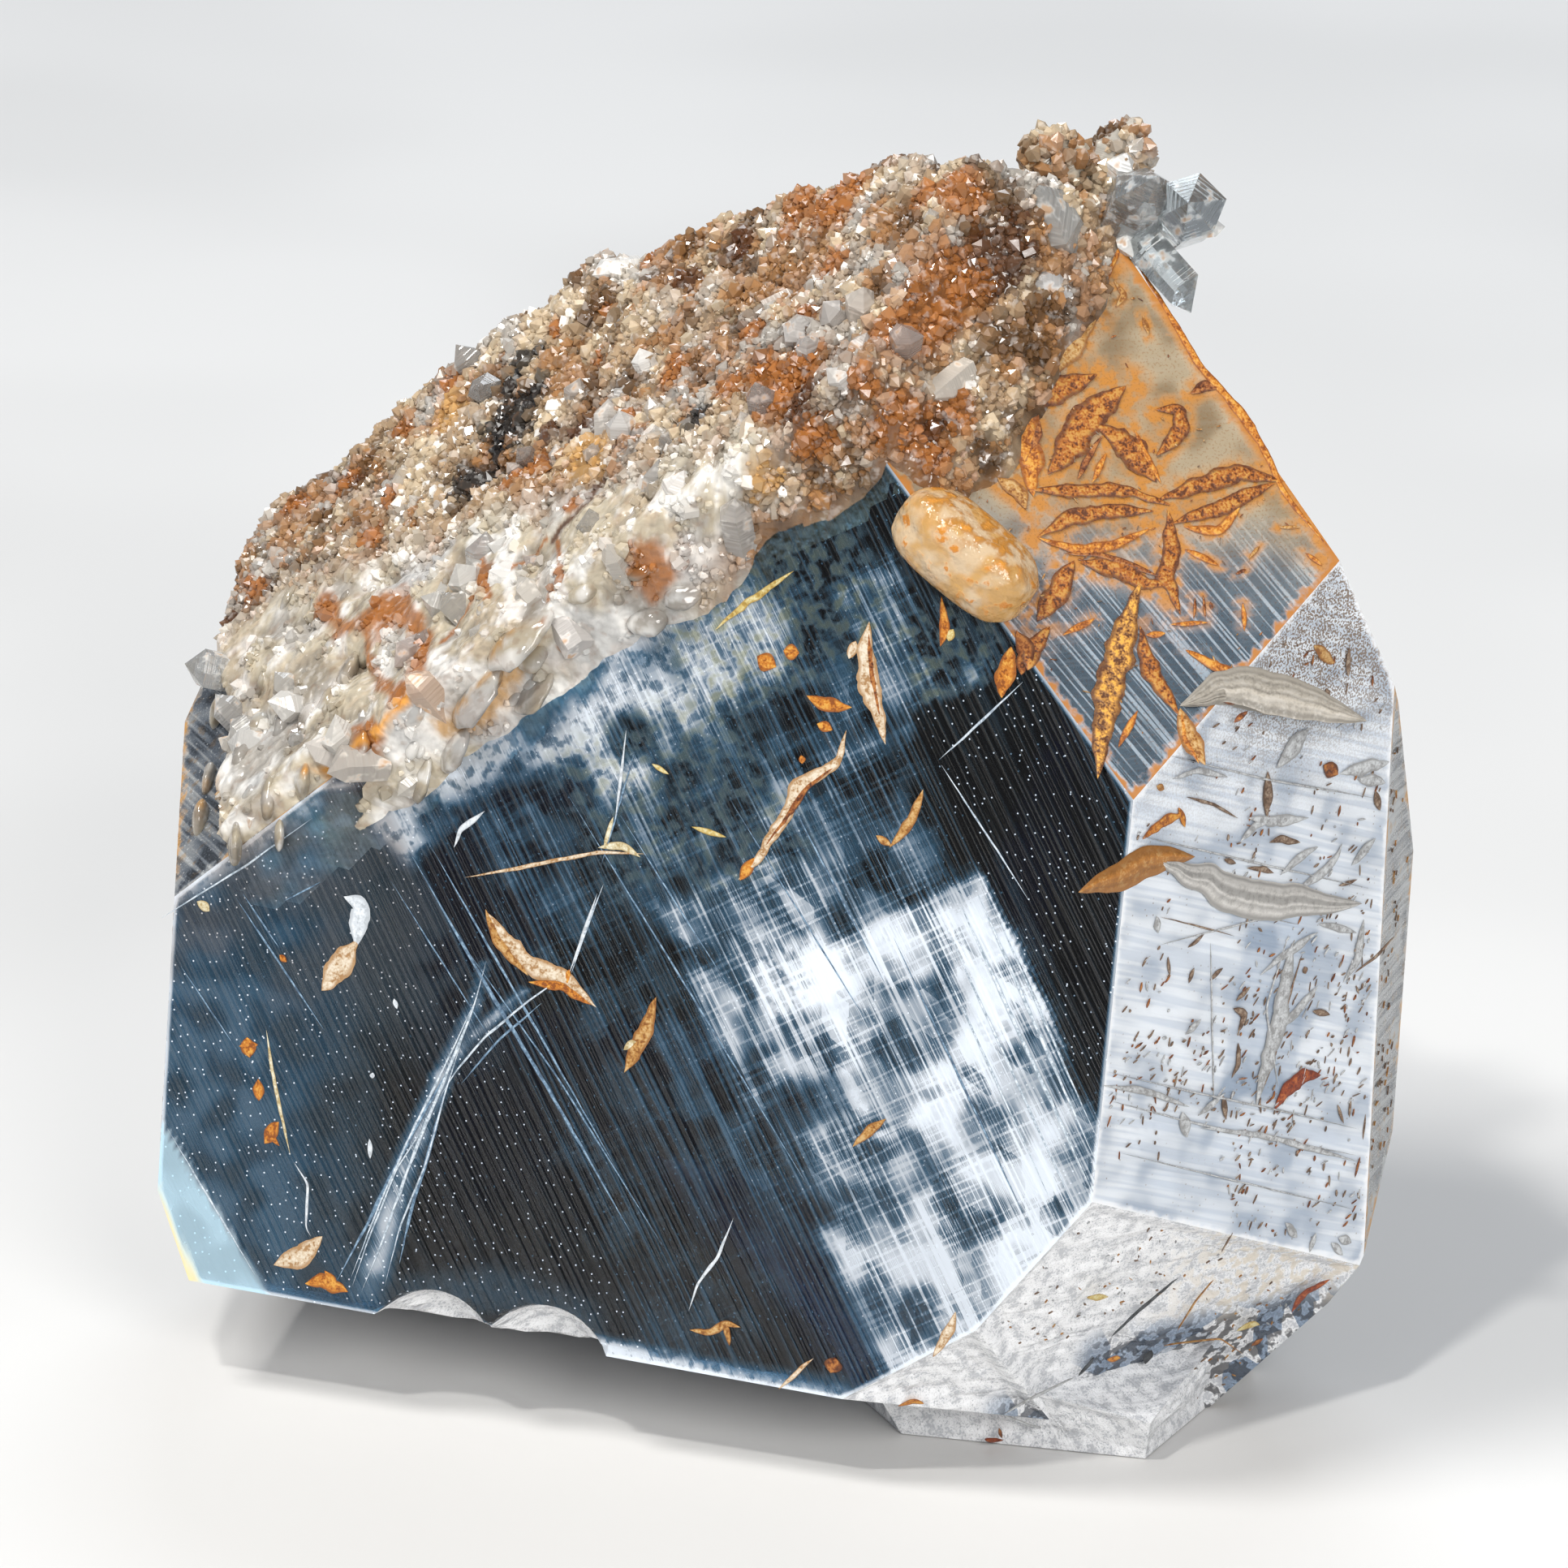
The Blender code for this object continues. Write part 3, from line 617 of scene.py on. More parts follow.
DOMES: tuple[Dome, ...] = (
    Dome((-28.1, 9.5, 4.1), 1.0),
    Dome((-26.6, 3.4, 3.7), 1.3),
    Dome((-24.7, 3.3, 5.4), 1.2),
    Dome((-28.4, 5.3, 2.1), 0.9),
    Dome((-25.1, -0.8, 3.3), 1.2),
    Dome((-28.7, 2.9, 0.9), 1.0),
    Dome((-26.7, -2.0, 1.4), 1.1, 0.3),
    Dome((-23.4, -1.6, 4.6), 1.0, 0.4),
    Dome((-22.4, 1.6, 6.9), 1.3),
    Dome((-20.6, -2.8, 6.8), 1.3, 0.4),
    Dome((-21.3, 2.9, 8.5), 1.2),
    Dome((-23.3, 7.1, 8.3), 1.0),
    Dome((-25.6, 7.7, 6.4), 1.1),
    Dome((-19.5, -0.9, 8.6), 1.0),
    Dome((-24.5, -2.7, 2.1), 0.8, 0.3),
    Dome((-19.3, 3.2, 10.5), 1.2),
    Dome((-21.5, 8.2, 10.5), 0.9),
    Dome((-17.5, -2.9, 9.7), 1.1),
    Dome((-27.1, 12.9, 7.1), 0.8),
    Dome((-24.5, 12.0, 9.2), 0.9),
    Dome((-9.1, 1.2, 19.3), 1.5, 0.45),
    Dome((-14.0, 1.0, 14.6), 2.0, 0.32),
    Dome((-12.7, -5.1, 13.4), 2.2, 0.26),
    Dome((-14.7, -4.8, 10.4), 2.0, 0.26),
    Dome((-12.1, -5.3, 10.5), 1.4, 0.26),
    Dome((-15.9, -4.4, 7.3), 1.4, 0.30),
    Dome((-17.5, -4.1, 5.6), 1.2, 0.30),
)


def direction(heading: float, rise: float) -> np.ndarray:
    """Unit direction with this heading and rise, in degrees."""
    h, r = math.radians(heading), math.radians(rise)
    return np.array((math.sin(h) * math.cos(r), -math.cos(h) * math.cos(r), math.sin(r)))


def unit_rows(vectors: np.ndarray) -> np.ndarray:
    """Each row divided by its length."""
    return vectors / np.maximum(np.linalg.norm(vectors, axis=-1, keepdims=True), 1e-12)


def smooth(low: float, high: float, value: np.ndarray) -> np.ndarray:
    """Rises from 0 at low to 1 at high along 3t^2 - 2t^3."""
    t = np.clip((value - low) / (high - low), 0.0, 1.0)
    return t * t * (3.0 - 2.0 * t)


def lattice_noise(points: np.ndarray, cell: float, seed: int) -> np.ndarray:
    """Smooth random values from 0 to 1.

    A whole-number hash gives each corner of a cubic lattice a random value, and the eight corners
    round a point are blended by 3t^2 - 2t^3 along each axis.

    Args:
        points: places, (n, 3), in mm.
        cell: size of a lattice cell in mm.
        seed: picks another set of random values.

    Returns:
        One value for each point.
    """
    scaled = points / cell
    corner = np.floor(scaled)
    part = scaled - corner
    part = part * part * (3.0 - 2.0 * part)
    whole = corner.astype(np.int64)
    total = np.zeros(len(points))
    for offset in itertools.product((0, 1), repeat=3):
        x, y, z = (whole + np.array(offset)).T
        mixed = (x * 73856093) ^ (y * 19349663) ^ (z * 83492791) ^ (seed * 2654435761)
        mixed = ((mixed & 0xFFFFFFFF) * 2246822519) & 0xFFFFFFFF
        mixed = ((mixed ^ (mixed >> 15)) * 3266489917) & 0xFFFFFFFF
        value = (mixed ^ (mixed >> 16)) / 4294967296.0
        weight = np.prod(np.where(np.array(offset) == 1, part, 1.0 - part), axis=1)
        total += value * weight
    return total


def rough_noise(points: np.ndarray, cell: float, seed: int, octaves: int = 3) -> np.ndarray:
    """Lattice noise summed over octaves, each of half the cell and half the weight, from 0 to 1."""
    weights = 0.5 ** np.arange(octaves)
    layers = [w * lattice_noise(points, cell * w, seed + i) for i, w in enumerate(weights)]
    return np.sum(layers, axis=0) / weights.sum()


def reach(directions: np.ndarray, faces: Faces) -> np.ndarray:
    """Distance from the middle to the nearest face plane along each direction.

    Args:
        directions: unit directions, (n, 3).
        faces: face values that start with heading, rise and distance.

    Returns:
        The least of distance / cos(angle to the face's direction), over the faces, in mm.
    """
    radius = np.full(len(directions), np.inf)
    for face in faces.values():
        along = directions @ direction(face[0], face[1])
        there = np.where(along > 1e-3, face[2] / np.maximum(along, 1e-3), np.inf)
        radius = np.minimum(radius, there)
    return radius


def away_from(points: np.ndarray, line: tuple[Point, ...]) -> np.ndarray:
    """Distance from each point to a line through places: the least over its straight parts."""
    places = np.array(line)
    start, along = places[:-1], np.diff(places, axis=0)
    offset = points[:, None, :] - start[None]
    share = np.clip(np.einsum("nsc,sc->ns", offset, along) / np.sum(along**2, axis=1), 0.0, 1.0)
    return np.linalg.norm(offset - share[..., None] * along, axis=2).min(axis=1)


def ring_cells(rows: int, columns: int, first: int = 0) -> np.ndarray:
    """Four-cornered cells between closed rings of points.

    Point (row, column) is number first + row * columns + column, and the last column joins the
    first. A cell goes from (r, c) to (r + 1, c), (r + 1, c + 1) and (r, c + 1).

    Args:
        rows: rows of cells.
        columns: points in a ring.
        first: number of the first point.

    Returns:
        (rows * columns, 4) corners.
    """
    row = first + np.arange(rows)[:, None] * columns
    turn = np.arange(columns)
    step = (turn + 1) % columns
    cells = np.stack([row + turn, row + columns + turn, row + columns + step, row + step], axis=-1)
    return cells.reshape(-1, 4)


@dataclass
class Surface:
    """Points in mm from the main crystal's middle, the faces between them, and values on the points."""

    points: np.ndarray
    quads: np.ndarray
    triangles: np.ndarray
    values: dict[str, np.ndarray] = field(default_factory=dict)
    place: np.ndarray | None = None

    @staticmethod
    def of_cells(points: np.ndarray, quads: np.ndarray, values: dict[str, np.ndarray]) -> "Surface":
        """A surface of four-cornered faces alone."""
        return Surface(points, quads, np.zeros((0, 3), int), values)

    @staticmethod
    def joined(parts: "list[Surface]") -> "Surface":
        """One surface of all the parts, which carry the same values.

        Args:
            parts: surfaces to put together.

        Returns:
            The joined surface.
        """
        starts = np.cumsum([0] + [len(part.points) for part in parts[:-1]])
        values = {key: np.concatenate([part.values[key] for part in parts]) for key in parts[0].values}
        place = None
        if parts[0].place is not None:
            place = np.concatenate([part.place for part in parts])
        return Surface(
            np.concatenate([part.points for part in parts]),
            np.concatenate([part.quads + start for part, start in zip(parts, starts)]),
            np.concatenate([part.triangles + start for part, start in zip(parts, starts)]),
            values,
            place,
        )


@dataclass(frozen=True)
class Piece:
    """How a surface becomes an object of the scene."""

    name: str
    slot: Slot
    material: bpy.types.Material
    sharp_angle: float | None = None
    weld: bool = False

    def make(self, surface: Surface) -> bpy.types.Object:
        """Puts the surface into a mesh object that rides on the root body and stands for the solid.

        Coincident points become one when weld is set: points are told apart by their places rounded
        to a thousandth of a millimetre. Values and face places are kept on the face corners.

        Args:
            surface: the finished shape.

        Returns:
            The new object.
        """
        index = np.arange(len(surface.points))
        points = surface.points
        if self.weld:
            keys = np.round(points * 1000.0).astype(np.int64)
            _, first, index = np.unique(keys, axis=0, return_index=True, return_inverse=True)
            points, index = points[first], index.reshape(-1)
        quads, triangles = self._without_collapsed(index, surface.quads, surface.triangles)
        corners = np.concatenate([quads.reshape(-1), triangles.reshape(-1)])
        sizes = np.concatenate([np.full(len(quads), 4), np.full(len(triangles), 3)])
        starts = np.concatenate([[0], np.cumsum(sizes)[:-1]])
        mesh = bpy.data.meshes.new(self.name)
        mesh.vertices.add(len(points))
        mesh.vertices.foreach_set("co", ((points + MIDDLE) * MM).astype(np.float32).reshape(-1))
        mesh.loops.add(len(corners))
        mesh.loops.foreach_set("vertex_index", index[corners].astype(np.int32))
        mesh.polygons.add(len(sizes))
        mesh.polygons.foreach_set("loop_start", starts.astype(np.int32))
        mesh.update(calc_edges=True)
        for key, value in surface.values.items():
            self._add_value(mesh, key, value[corners])
        if surface.place is not None:
            layer = mesh.uv_layers.new(name="face_place")
            layer.uv.foreach_set("vector", surface.place[corners].astype(np.float32).reshape(-1))
        smooth_shaded = self.sharp_angle is not None
        mesh.polygons.foreach_set("use_smooth", np.full(len(sizes), smooth_shaded))
        if smooth_shaded:
            mesh.set_sharp_from_angle(angle=math.radians(self.sharp_angle))
        mesh.materials.append(self.material)
        piece = bpy.data.objects.new(self.name, mesh)
        bpy.context.scene.collection.objects.link(piece)
        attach(piece, "root")
        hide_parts(NODE)
        LOG.info("%s: %d points, %d faces", self.name, len(points), len(sizes))
        return piece

    @staticmethod
    def _without_collapsed(
        index: np.ndarray, quads: np.ndarray, triangles: np.ndarray
    ) -> tuple[np.ndarray, np.ndarray]:
        """Faces after welding: a quad with two neighbouring corners in one place becomes a triangle.

        Args:
            index: the welded point of each point.
            quads: (n, 4) corners.
            triangles: (n, 3) corners.

        Returns:
            Quads and triangles whose corners all differ.
        """
        welded = index[quads]
        same = welded == np.roll(welded, -1, axis=1)
        crossed = (welded[:, 0] == welded[:, 2]) | (welded[:, 1] == welded[:, 3])
        once = (same.sum(axis=1) == 1) & ~crossed
        narrowed = quads[once][~same[once]].reshape(-1, 3)
        triangles = np.concatenate([triangles.reshape(-1, 3), narrowed])
        apart = index[triangles]
        whole = (apart[:, 0] != apart[:, 1]) & (apart[:, 1] != apart[:, 2]) & (apart[:, 2] != apart[:, 0])
        return quads[~same.any(axis=1) & ~crossed], triangles[whole]

    @staticmethod
    def _add_value(mesh: bpy.types.Mesh, key: str, value: np.ndarray) -> None:
        """Adds a number or a colour for each face corner.

        Args:
            mesh: the mesh that gets it.
            key: the attribute's name.
            value: (n,) numbers or (n, 3) colours.
        """
        if value.ndim == 1:
            layer = mesh.attributes.new(key, "FLOAT", "CORNER")
            layer.data.foreach_set("value", value.astype(np.float32))
            return
        layer = mesh.attributes.new(key, "FLOAT_COLOR", "CORNER")
        opaque = np.concatenate([value, np.ones((len(value), 1))], axis=1)
        layer.data.foreach_set("color", opaque.astype(np.float32).reshape(-1))


class NodeGraph:
    """Short ways to build the nodes of one material around its Principled shader."""

    def __init__(self, name: str) -> None:
        """Starts a material.

        Args:
            name: the material's name.
        """
        self.material = bpy.data.materials.new(name)
        self.material.use_nodes = True
        self.tree = self.material.node_tree
        self.shader = self.tree.nodes["Principled BSDF"]
        self.output = self.tree.nodes["Material Output"]
        self.object_mm = self.scaled(self.node("TexCoord", "Object", {}), (1000.0, 1000.0, 1000.0))

    def _feed(self, socket: Socket, value: object) -> None:
        """Links a socket, or sets its plain value."""
        if isinstance(value, Socket):
            self.tree.links.new(value, socket)
        else:
            socket.default_value = value

    def node(self, kind: str, output: str | int, inputs: dict, **settings: object) -> Socket:
        """Adds one node.

        Args:
            kind: the node's type, without the ShaderNode before it.
            output: name or number of the output wanted.
            inputs: a socket or plain value for each input, by its name or number.
            settings: the node's other settings.

        Returns:
            That output's socket.
        """
        made = self.tree.nodes.new("ShaderNode" + kind)
        for name, value in settings.items():
            setattr(made, name, value)
        for key, value in inputs.items():
            self._feed(made.inputs[key], value)
        return made.outputs[output]

    def scaled(self, vector: Socket, scale: Point) -> Socket:
        """A vector times three numbers."""
        return self.node("VectorMath", "Vector", {0: vector, 1: scale}, operation="MULTIPLY")

    def math(self, operation: str, first: object, second: object = 0.0, clamp: bool = False) -> Socket:
        """One Math node of two sockets or numbers, held from 0 to 1 when clamp is set."""
        return self.node("Math", 0, {0: first, 1: second}, operation=operation, use_clamp=clamp)

    def product(self, *values: object) -> Socket:
        """All the values multiplied."""
        return functools.reduce(functools.partial(self.math, "MULTIPLY"), values)

    def total(self, *values: object) -> Socket:
        """All the values added."""
        return functools.reduce(functools.partial(self.math, "ADD"), values)

    def rest(self, value: object) -> Socket:
        """1 less the value."""
        return self.math("SUBTRACT", 1.0, value)

    def ramp(self, value: object, low: float, high: float, start: float = 0.0, end: float = 1.0) -> Socket:
        """Smooth change of a value's result, from start at low to end at high."""
        limits = {"From Min": low, "From Max": high, "To Min": start, "To Max": end}
        return self.node("MapRange", "Result", {"Value": value, **limits}, interpolation_type="SMOOTHSTEP")

    def noise(self, vector: Socket, scale: float, detail: float = 2.0, flat: bool = False) -> Socket:
        """Noise from 0 to 1.

        Args:
            vector: where it is read.
            scale: cells for each unit of the vector.
            detail: octaves after the first.
            flat: noise in a plane instead of in space, which is quicker.

        Returns:
            The value's socket.
        """
        inputs = {"Vector": vector, "Scale": scale, "Detail": detail}
        return self.node("TexNoise", "Fac", inputs, noise_dimensions="2D" if flat else "3D")

    def line_noise(self, value: Socket, scale: float) -> Socket:
        """Noise from 0 to 1 along one number, of two octaves."""
        inputs = {"W": value, "Scale": scale, "Detail": 1.0}
        return self.node("TexNoise", "Fac", inputs, noise_dimensions="1D")

    def dots(self, vector: Socket, scale: float, radius: float, share: float) -> Socket:
        """Small round dots, one in some of the flat cells.

        Args:
            vector: where they are read.
            scale: cells for each unit of the vector.
            radius: a dot's radius in cells.
            share: share of the cells that have one.

        Returns:
            1 in a dot and 0 outside.
        """
        far = self.node("TexVoronoi", "Distance", {"Vector": vector, "Scale": scale}, voronoi_dimensions="2D")
        near = self.ramp(far, radius * 0.4, radius, 1.0, 0.0)
        return self.product(near, self.ramp(self.part(far.node.outputs["Color"]), 1.0 - share, 1.2 - share))

    def part(self, colour: Socket) -> Socket:
        """A colour's first part."""
        return self.node("SeparateColor", 0, {0: colour})

    def value_of(self, name: str) -> Socket:
        """A number kept on the mesh."""
        return self.node("Attribute", "Fac", {}, attribute_name=name)

    def colour_of(self, name: str) -> Socket:
        """A colour kept on the mesh."""
        return self.node("Attribute", "Color", {}, attribute_name=name)

    def blend(self, factor: object, first: object, second: object) -> Socket:
        """Mixes two colours.

        Args:
            factor: 0 gives the first, 1 the second.
            first: a socket or colour.
            second: a socket or colour.

        Returns:
            The colour's socket.
        """
        inputs = {0: factor}
        for key, value in ((6, first), (7, second)):
            inputs[key] = value if isinstance(value, Socket) else (*value, 1.0)
        return self.node("Mix", 2, inputs, data_type="RGBA")

    def choose(self, factor: object, first: object, second: object) -> Socket:
        """Mixes two numbers by a factor."""
        return self.node("Mix", 0, {0: factor, 2: first, 3: second}, data_type="FLOAT")

    def relief(self, height: Socket, depth_mm: float) -> None:
        """Gives the shader a bump of this height map, in which 1 stands for depth_mm."""
        inputs = {"Strength": 1.0, "Distance": depth_mm * MM, "Height": height}
        self._feed(self.shader.inputs["Normal"], self.node("Bump", "Normal", inputs))

    def absorb(self, colour: Colour, density: float) -> None:
        """Darkens light on its way through the inside."""
        inputs = {"Color": (*colour, 1.0), "Density": density}
        self._feed(self.output.inputs["Volume"], self.node("VolumeAbsorption", 0, inputs))

    def set(self, **values: object) -> None:
        """Feeds the shader's sockets, named with _ for a space."""
        for name, value in values.items():
            self._feed(self.shader.inputs[name.replace("_", " ")], value)


@dataclass(frozen=True)
class FacePattern:
    """Patterns on the places of a face, which the looks of all kinds of face share."""

    turned: Socket
    cloud: Socket
    blot: Socket
    fine: Socket
    hairs: Socket
    specks: Socket
    block: Socket
    growth: Socket


@dataclass(frozen=True)
class ClearQuartz:
    """Clear quartz, dark in depth, whose faces are striated, veiled, stained or milky by kind."""

    name: str = "Clear quartz"
    # The blue of the depth colour and of the front's tints is partly the quartz's own dark tint and partly a
    # painted reflection: the blue-grey sheen of bluish light on the striations.
    depth_colour: Colour = (0.28, 0.45, 0.62)
    depth_density: float = 380.0
    stripe_angle: float = 59.0
    pale_lean: float = 22.0
    clear_tint: Colour = (0.34, 0.66, 0.96)
    hair_blue: Colour = (0.12, 0.33, 0.56)
    veil_colour: Colour = (0.74, 0.81, 0.90)
    olive: Colour = (0.22, 0.23, 0.10)
    brown: Colour = (0.26, 0.19, 0.14)
    window_blue: Colour = (0.24, 0.38, 0.52)
    window_light: Colour = (0.52, 0.64, 0.76)
    cream: Colour = (0.28, 0.20, 0.11)
    light_cream: Colour = (0.39, 0.31, 0.20)
    iron_glow: Colour = (0.50, 0.20, 0.022)
    rim_iron: Colour = (0.46, 0.17, 0.016)
    # The pale face's blue-white: its own etched frosting, made brighter as painted light for the lit face.
    pale_blue: Colour = (0.84, 0.89, 0.95)
    shade_blue: Colour = (0.38, 0.47, 0.60)
    pit_brown: Colour = (0.26, 0.20, 0.16)
    bright_glass: Colour = (0.94, 0.95, 0.97)
    step_blue: Colour = (0.50, 0.64, 0.84)
    glassy_grey: Colour = (0.46, 0.48, 0.49)
    # Colours of the painted reflection of a corner facet, seen in the front face's lower left.
    reflected_corner_blue: Colour = (0.50, 0.72, 0.86)
    reflected_corner_yellow: Colour = (0.86, 0.72, 0.36)
    soot: Colour = (0.05, 0.06, 0.08)
    dark_iron: Colour = (0.26, 0.11, 0.02)
    line_blue: Colour = (0.52, 0.60, 0.72)
    dull_glass: Colour = (0.66, 0.68, 0.72)
    grain_grey: Colour = (0.40, 0.40, 0.41)
    sallow_glass: Colour = (0.62, 0.54, 0.42)
    side_brown: Colour = (0.42, 0.28, 0.14)
    side_rust: Colour = (0.56, 0.30, 0.09)

    def stretched(
        self, graph: NodeGraph, turned: Socket, across: float, along: float, seed: float, detail: float = 1.0
    ) -> Socket:
        """Noise drawn out along the striation, or over it.

        Args:
            graph: the material's nodes.
            turned: place on the face, turned by the striation's angle.
            across: cells for each mm over the lines.
            along: cells for each mm down the lines.
            seed: shifts the pattern.
            detail: octaves after the first.

        Returns:
            The noise's socket.
        """
        drawn = graph.scaled(turned, (across, along, 1.0))
        shifted = graph.node("VectorMath", "Vector", {0: drawn, 1: (seed, seed * 1.7, 0.0)})
        return graph.noise(shifted, 1.0, detail, True)

    def blocks(self, graph: NodeGraph, turned: Socket, across: float, along: float) -> Socket:
        """A random value for each box-shaped cell lined up with the striation.

        Args:
            graph: the material's nodes.
            turned: place on the face, turned by the striation's angle.
            across: cells for each mm over the lines.
            along: cells for each mm down the lines.

        Returns:
            The value's socket.
        """
        inputs = {"Vector": graph.scaled(turned, (across, along, 1.0)), "Scale": 1.0}
        kind = {"voronoi_dimensions": "2D", "distance": "CHEBYCHEV"}
        return graph.part(graph.node("TexVoronoi", "Color", inputs, **kind))

    def growth(self, graph: NodeGraph, place: Socket) -> Socket:
        """Noise drawn out along the growth lines, level on most faces and sloping on the pale one.

        Args:
            graph: the material's nodes.
            place: place on the face in mm.

        Returns:
            The noise's socket.
        """
        u = graph.node("SeparateXYZ", "X", {0: place})
        lean = graph.product(graph.value_of(FaceKind.PALE.value), u, math.tan(math.radians(self.pale_lean)))
        level = graph.product(graph.total(u.node.outputs["Y"], lean), 2.7)
        drawn = graph.node("CombineXYZ", "Vector", {"X": graph.product(u, 0.11), "Y": level})
        return graph.noise(drawn, 1.0, 1.0, True)

    def pattern(self, graph: NodeGraph) -> FacePattern:
        """The patterns that the looks share, on the place on the face kept in the mesh."""
        place = graph.node("UVMap", "UV", {}, uv_map="face_place")
        turn = (0.0, 0.0, math.radians(self.stripe_angle - 90.0))
        turned = graph.node("Mapping", "Vector", {"Vector": place, "Rotation": turn})
        return FacePattern(
            turned,
            graph.noise(place, 0.40, 1.0, True),
            graph.noise(place, 1.5, 2.0, True),
            graph.noise(place, 8.5, 1.0, True),
            self.stretched(graph, turned, 5.0, 0.07, 3.0),
            graph.dots(place, 2.3, 0.13, 0.46),
            self.blocks(graph, turned, 0.80, 0.42),
            self.growth(graph, place),
        )

    def front_look(self, graph: NodeGraph, pattern: FacePattern) -> tuple[Socket, ...]:
        """The front face: dark and clear, with hair lines, woven veils and white specks.

        Args:
            graph: the material's nodes.
            pattern: the shared patterns.

        Returns:
            Colour, and how solid it is.
        """
        finer = self.stretched(graph, pattern.turned, 14.0, 0.20, 11.0)
        crossing = self.stretched(graph, pattern.turned, 0.22, 5.0, 19.0, 0.0)
        lines = graph.ramp(pattern.hairs, 0.52, 0.70)
        hair = graph.ramp(finer, 0.52, 0.72)
        cross = graph.ramp(crossing, 0.54, 0.74)
        veil = graph.value_of("veil")
        plaid = graph.total(
            graph.ramp(pattern.block, 0.10, 0.95, 0.0, 0.24),
            graph.ramp(pattern.cloud, 0.34, 0.64, 0.0, 0.36),
            graph.product(lines, 0.30),
            graph.product(hair, 0.24),
            graph.product(cross, 0.18),
        )
        plaid = graph.total(plaid, graph.product(veil, 0.62))
        haze = graph.product(veil, graph.ramp(plaid, 0.28, 1.22, 0.0, 0.90))
        lined = graph.value_of("lines")
        thin = graph.product(lined, lines, 0.07)
        dim = graph.product(graph.value_of("dim"), graph.ramp(pattern.cloud, 0.30, 0.66, 0.07, 0.21))
        specks = graph.product(pattern.specks, graph.ramp(lined, 0.1, 0.9, 0.80, 0.22))
        curdled = graph.total(pattern.blot, graph.product(hair, 0.10))
        milk = graph.product(graph.value_of("milk"), graph.ramp(curdled, 0.36, 0.56, 0.50, 1.0))
        barbs = graph.total(pattern.cloud, graph.product(hair, 0.20))
        feather = graph.product(graph.value_of("feather"), graph.ramp(barbs, 0.34, 0.70, 0.22, 0.56))
        # Painted highlight: the facet edges are whitened, standing in for the light that they catch.
        rim = graph.ramp(graph.value_of("edge"), 0.04, 0.26, 0.50, 0.0)
        frost = graph.value_of("frost")
        solid = graph.total(haze, thin, specks, dim, milk, feather, rim, frost)
        tint = graph.blend(graph.ramp(solid, 0.12, 0.62), self.hair_blue, self.veil_colour)
        colour = graph.blend(graph.ramp(solid, 0.0, 0.12), self.clear_tint, tint)
        # Painted reflection: the corner facet seen through the lower left is light blue.
        colour = graph.blend(graph.ramp(frost, 0.0, 0.5), colour, self.reflected_corner_blue)
        stain = graph.product(graph.value_of("olive"), graph.ramp(pattern.blot, 0.40, 0.70))
        colour = graph.blend(graph.product(stain, 0.8), colour, self.olive)
        warm = graph.value_of("warm")
        colour = graph.blend(warm, colour, self.brown)
        # Painted reflection: the corner facet's yellow part.
        yellow = graph.value_of("yellow")
        colour = graph.blend(yellow, colour, self.reflected_corner_yellow)
        solid = graph.total(solid, graph.product(stain, 0.20), graph.product(warm, 0.12), yellow)
        return colour, graph.math("MINIMUM", solid, 0.97)

    def stained_look(self, graph: NodeGraph, pattern: FacePattern) -> tuple[Socket, ...]:
        """The stained face: creamy above, clear below, orange near its marks and along its rim."""
        cloud, blot, fine = pattern.cloud, pattern.blot, pattern.fine
        cover = graph.value_of("cover")
        streaks = graph.ramp(pattern.hairs, 0.48, 0.68)
        ragged_edge = graph.total(graph.value_of("edge"), graph.product(blot, 1.3))
        rim = graph.ramp(ragged_edge, 0.66, 1.15, 1.0, 0.0)
        cream = graph.blend(graph.ramp(cloud, 0.35, 0.65), self.cream, self.light_cream)
        window = graph.blend(streaks, self.window_blue, self.window_light)
        iron = graph.product(graph.value_of("stain"), graph.ramp(blot, 0.38, 0.58, 0.30, 1.0))
        colour = graph.blend(cover, window, cream)
        colour = graph.blend(graph.math("MINIMUM", iron, 0.95), colour, self.iron_glow)
        colour = graph.blend(graph.ramp(fine, 0.58, 0.70, 0.0, 0.45), colour, self.dark_iron)
        colour = graph.blend(graph.product(rim, 0.95), colour, self.rim_iron)
        veiled = graph.product(graph.rest(cover), graph.ramp(streaks, 0.0, 1.0, 0.18, 0.58))
        solid = graph.total(graph.product(cover, 0.88), graph.product(iron, 0.75), rim, veiled)
        solid = graph.product(solid, graph.ramp(cloud, 0.25, 0.60, 0.85, 1.0))
        return colour, graph.math("MINIMUM", solid, 0.95)

    def pale_look(self, graph: NodeGraph, pattern: FacePattern) -> tuple[Socket, ...]:
        """The pale face: blue-white, with level growth lines, small pits and brown dust above."""
        growth = pattern.growth
        pits = graph.product(pattern.specks, graph.ramp(pattern.cloud, 0.42, 0.60))
        clouded = graph.ramp(pattern.cloud, 0.50, 0.72, 0.0, 0.55)
        shade = graph.total(graph.product(graph.value_of("shade"), 0.9), clouded)
        # The blue-white is partly the etched face's own colour and partly painted light.
        colour = graph.blend(graph.ramp(growth, 0.38, 0.58, 0.50, 0.0), self.pale_blue, self.line_blue)
        colour = graph.blend(graph.math("MINIMUM", shade, 1.0), colour, self.shade_blue)
        colour = graph.blend(graph.product(pits, 0.75), colour, self.pit_brown)
        strewn = graph.total(graph.product(pattern.fine, 0.75), graph.product(pattern.blot, 0.25))
        dust = graph.product(graph.value_of("dust"), graph.ramp(strewn, 0.48, 0.54))
        colour = graph.blend(dust, colour, self.pit_brown)
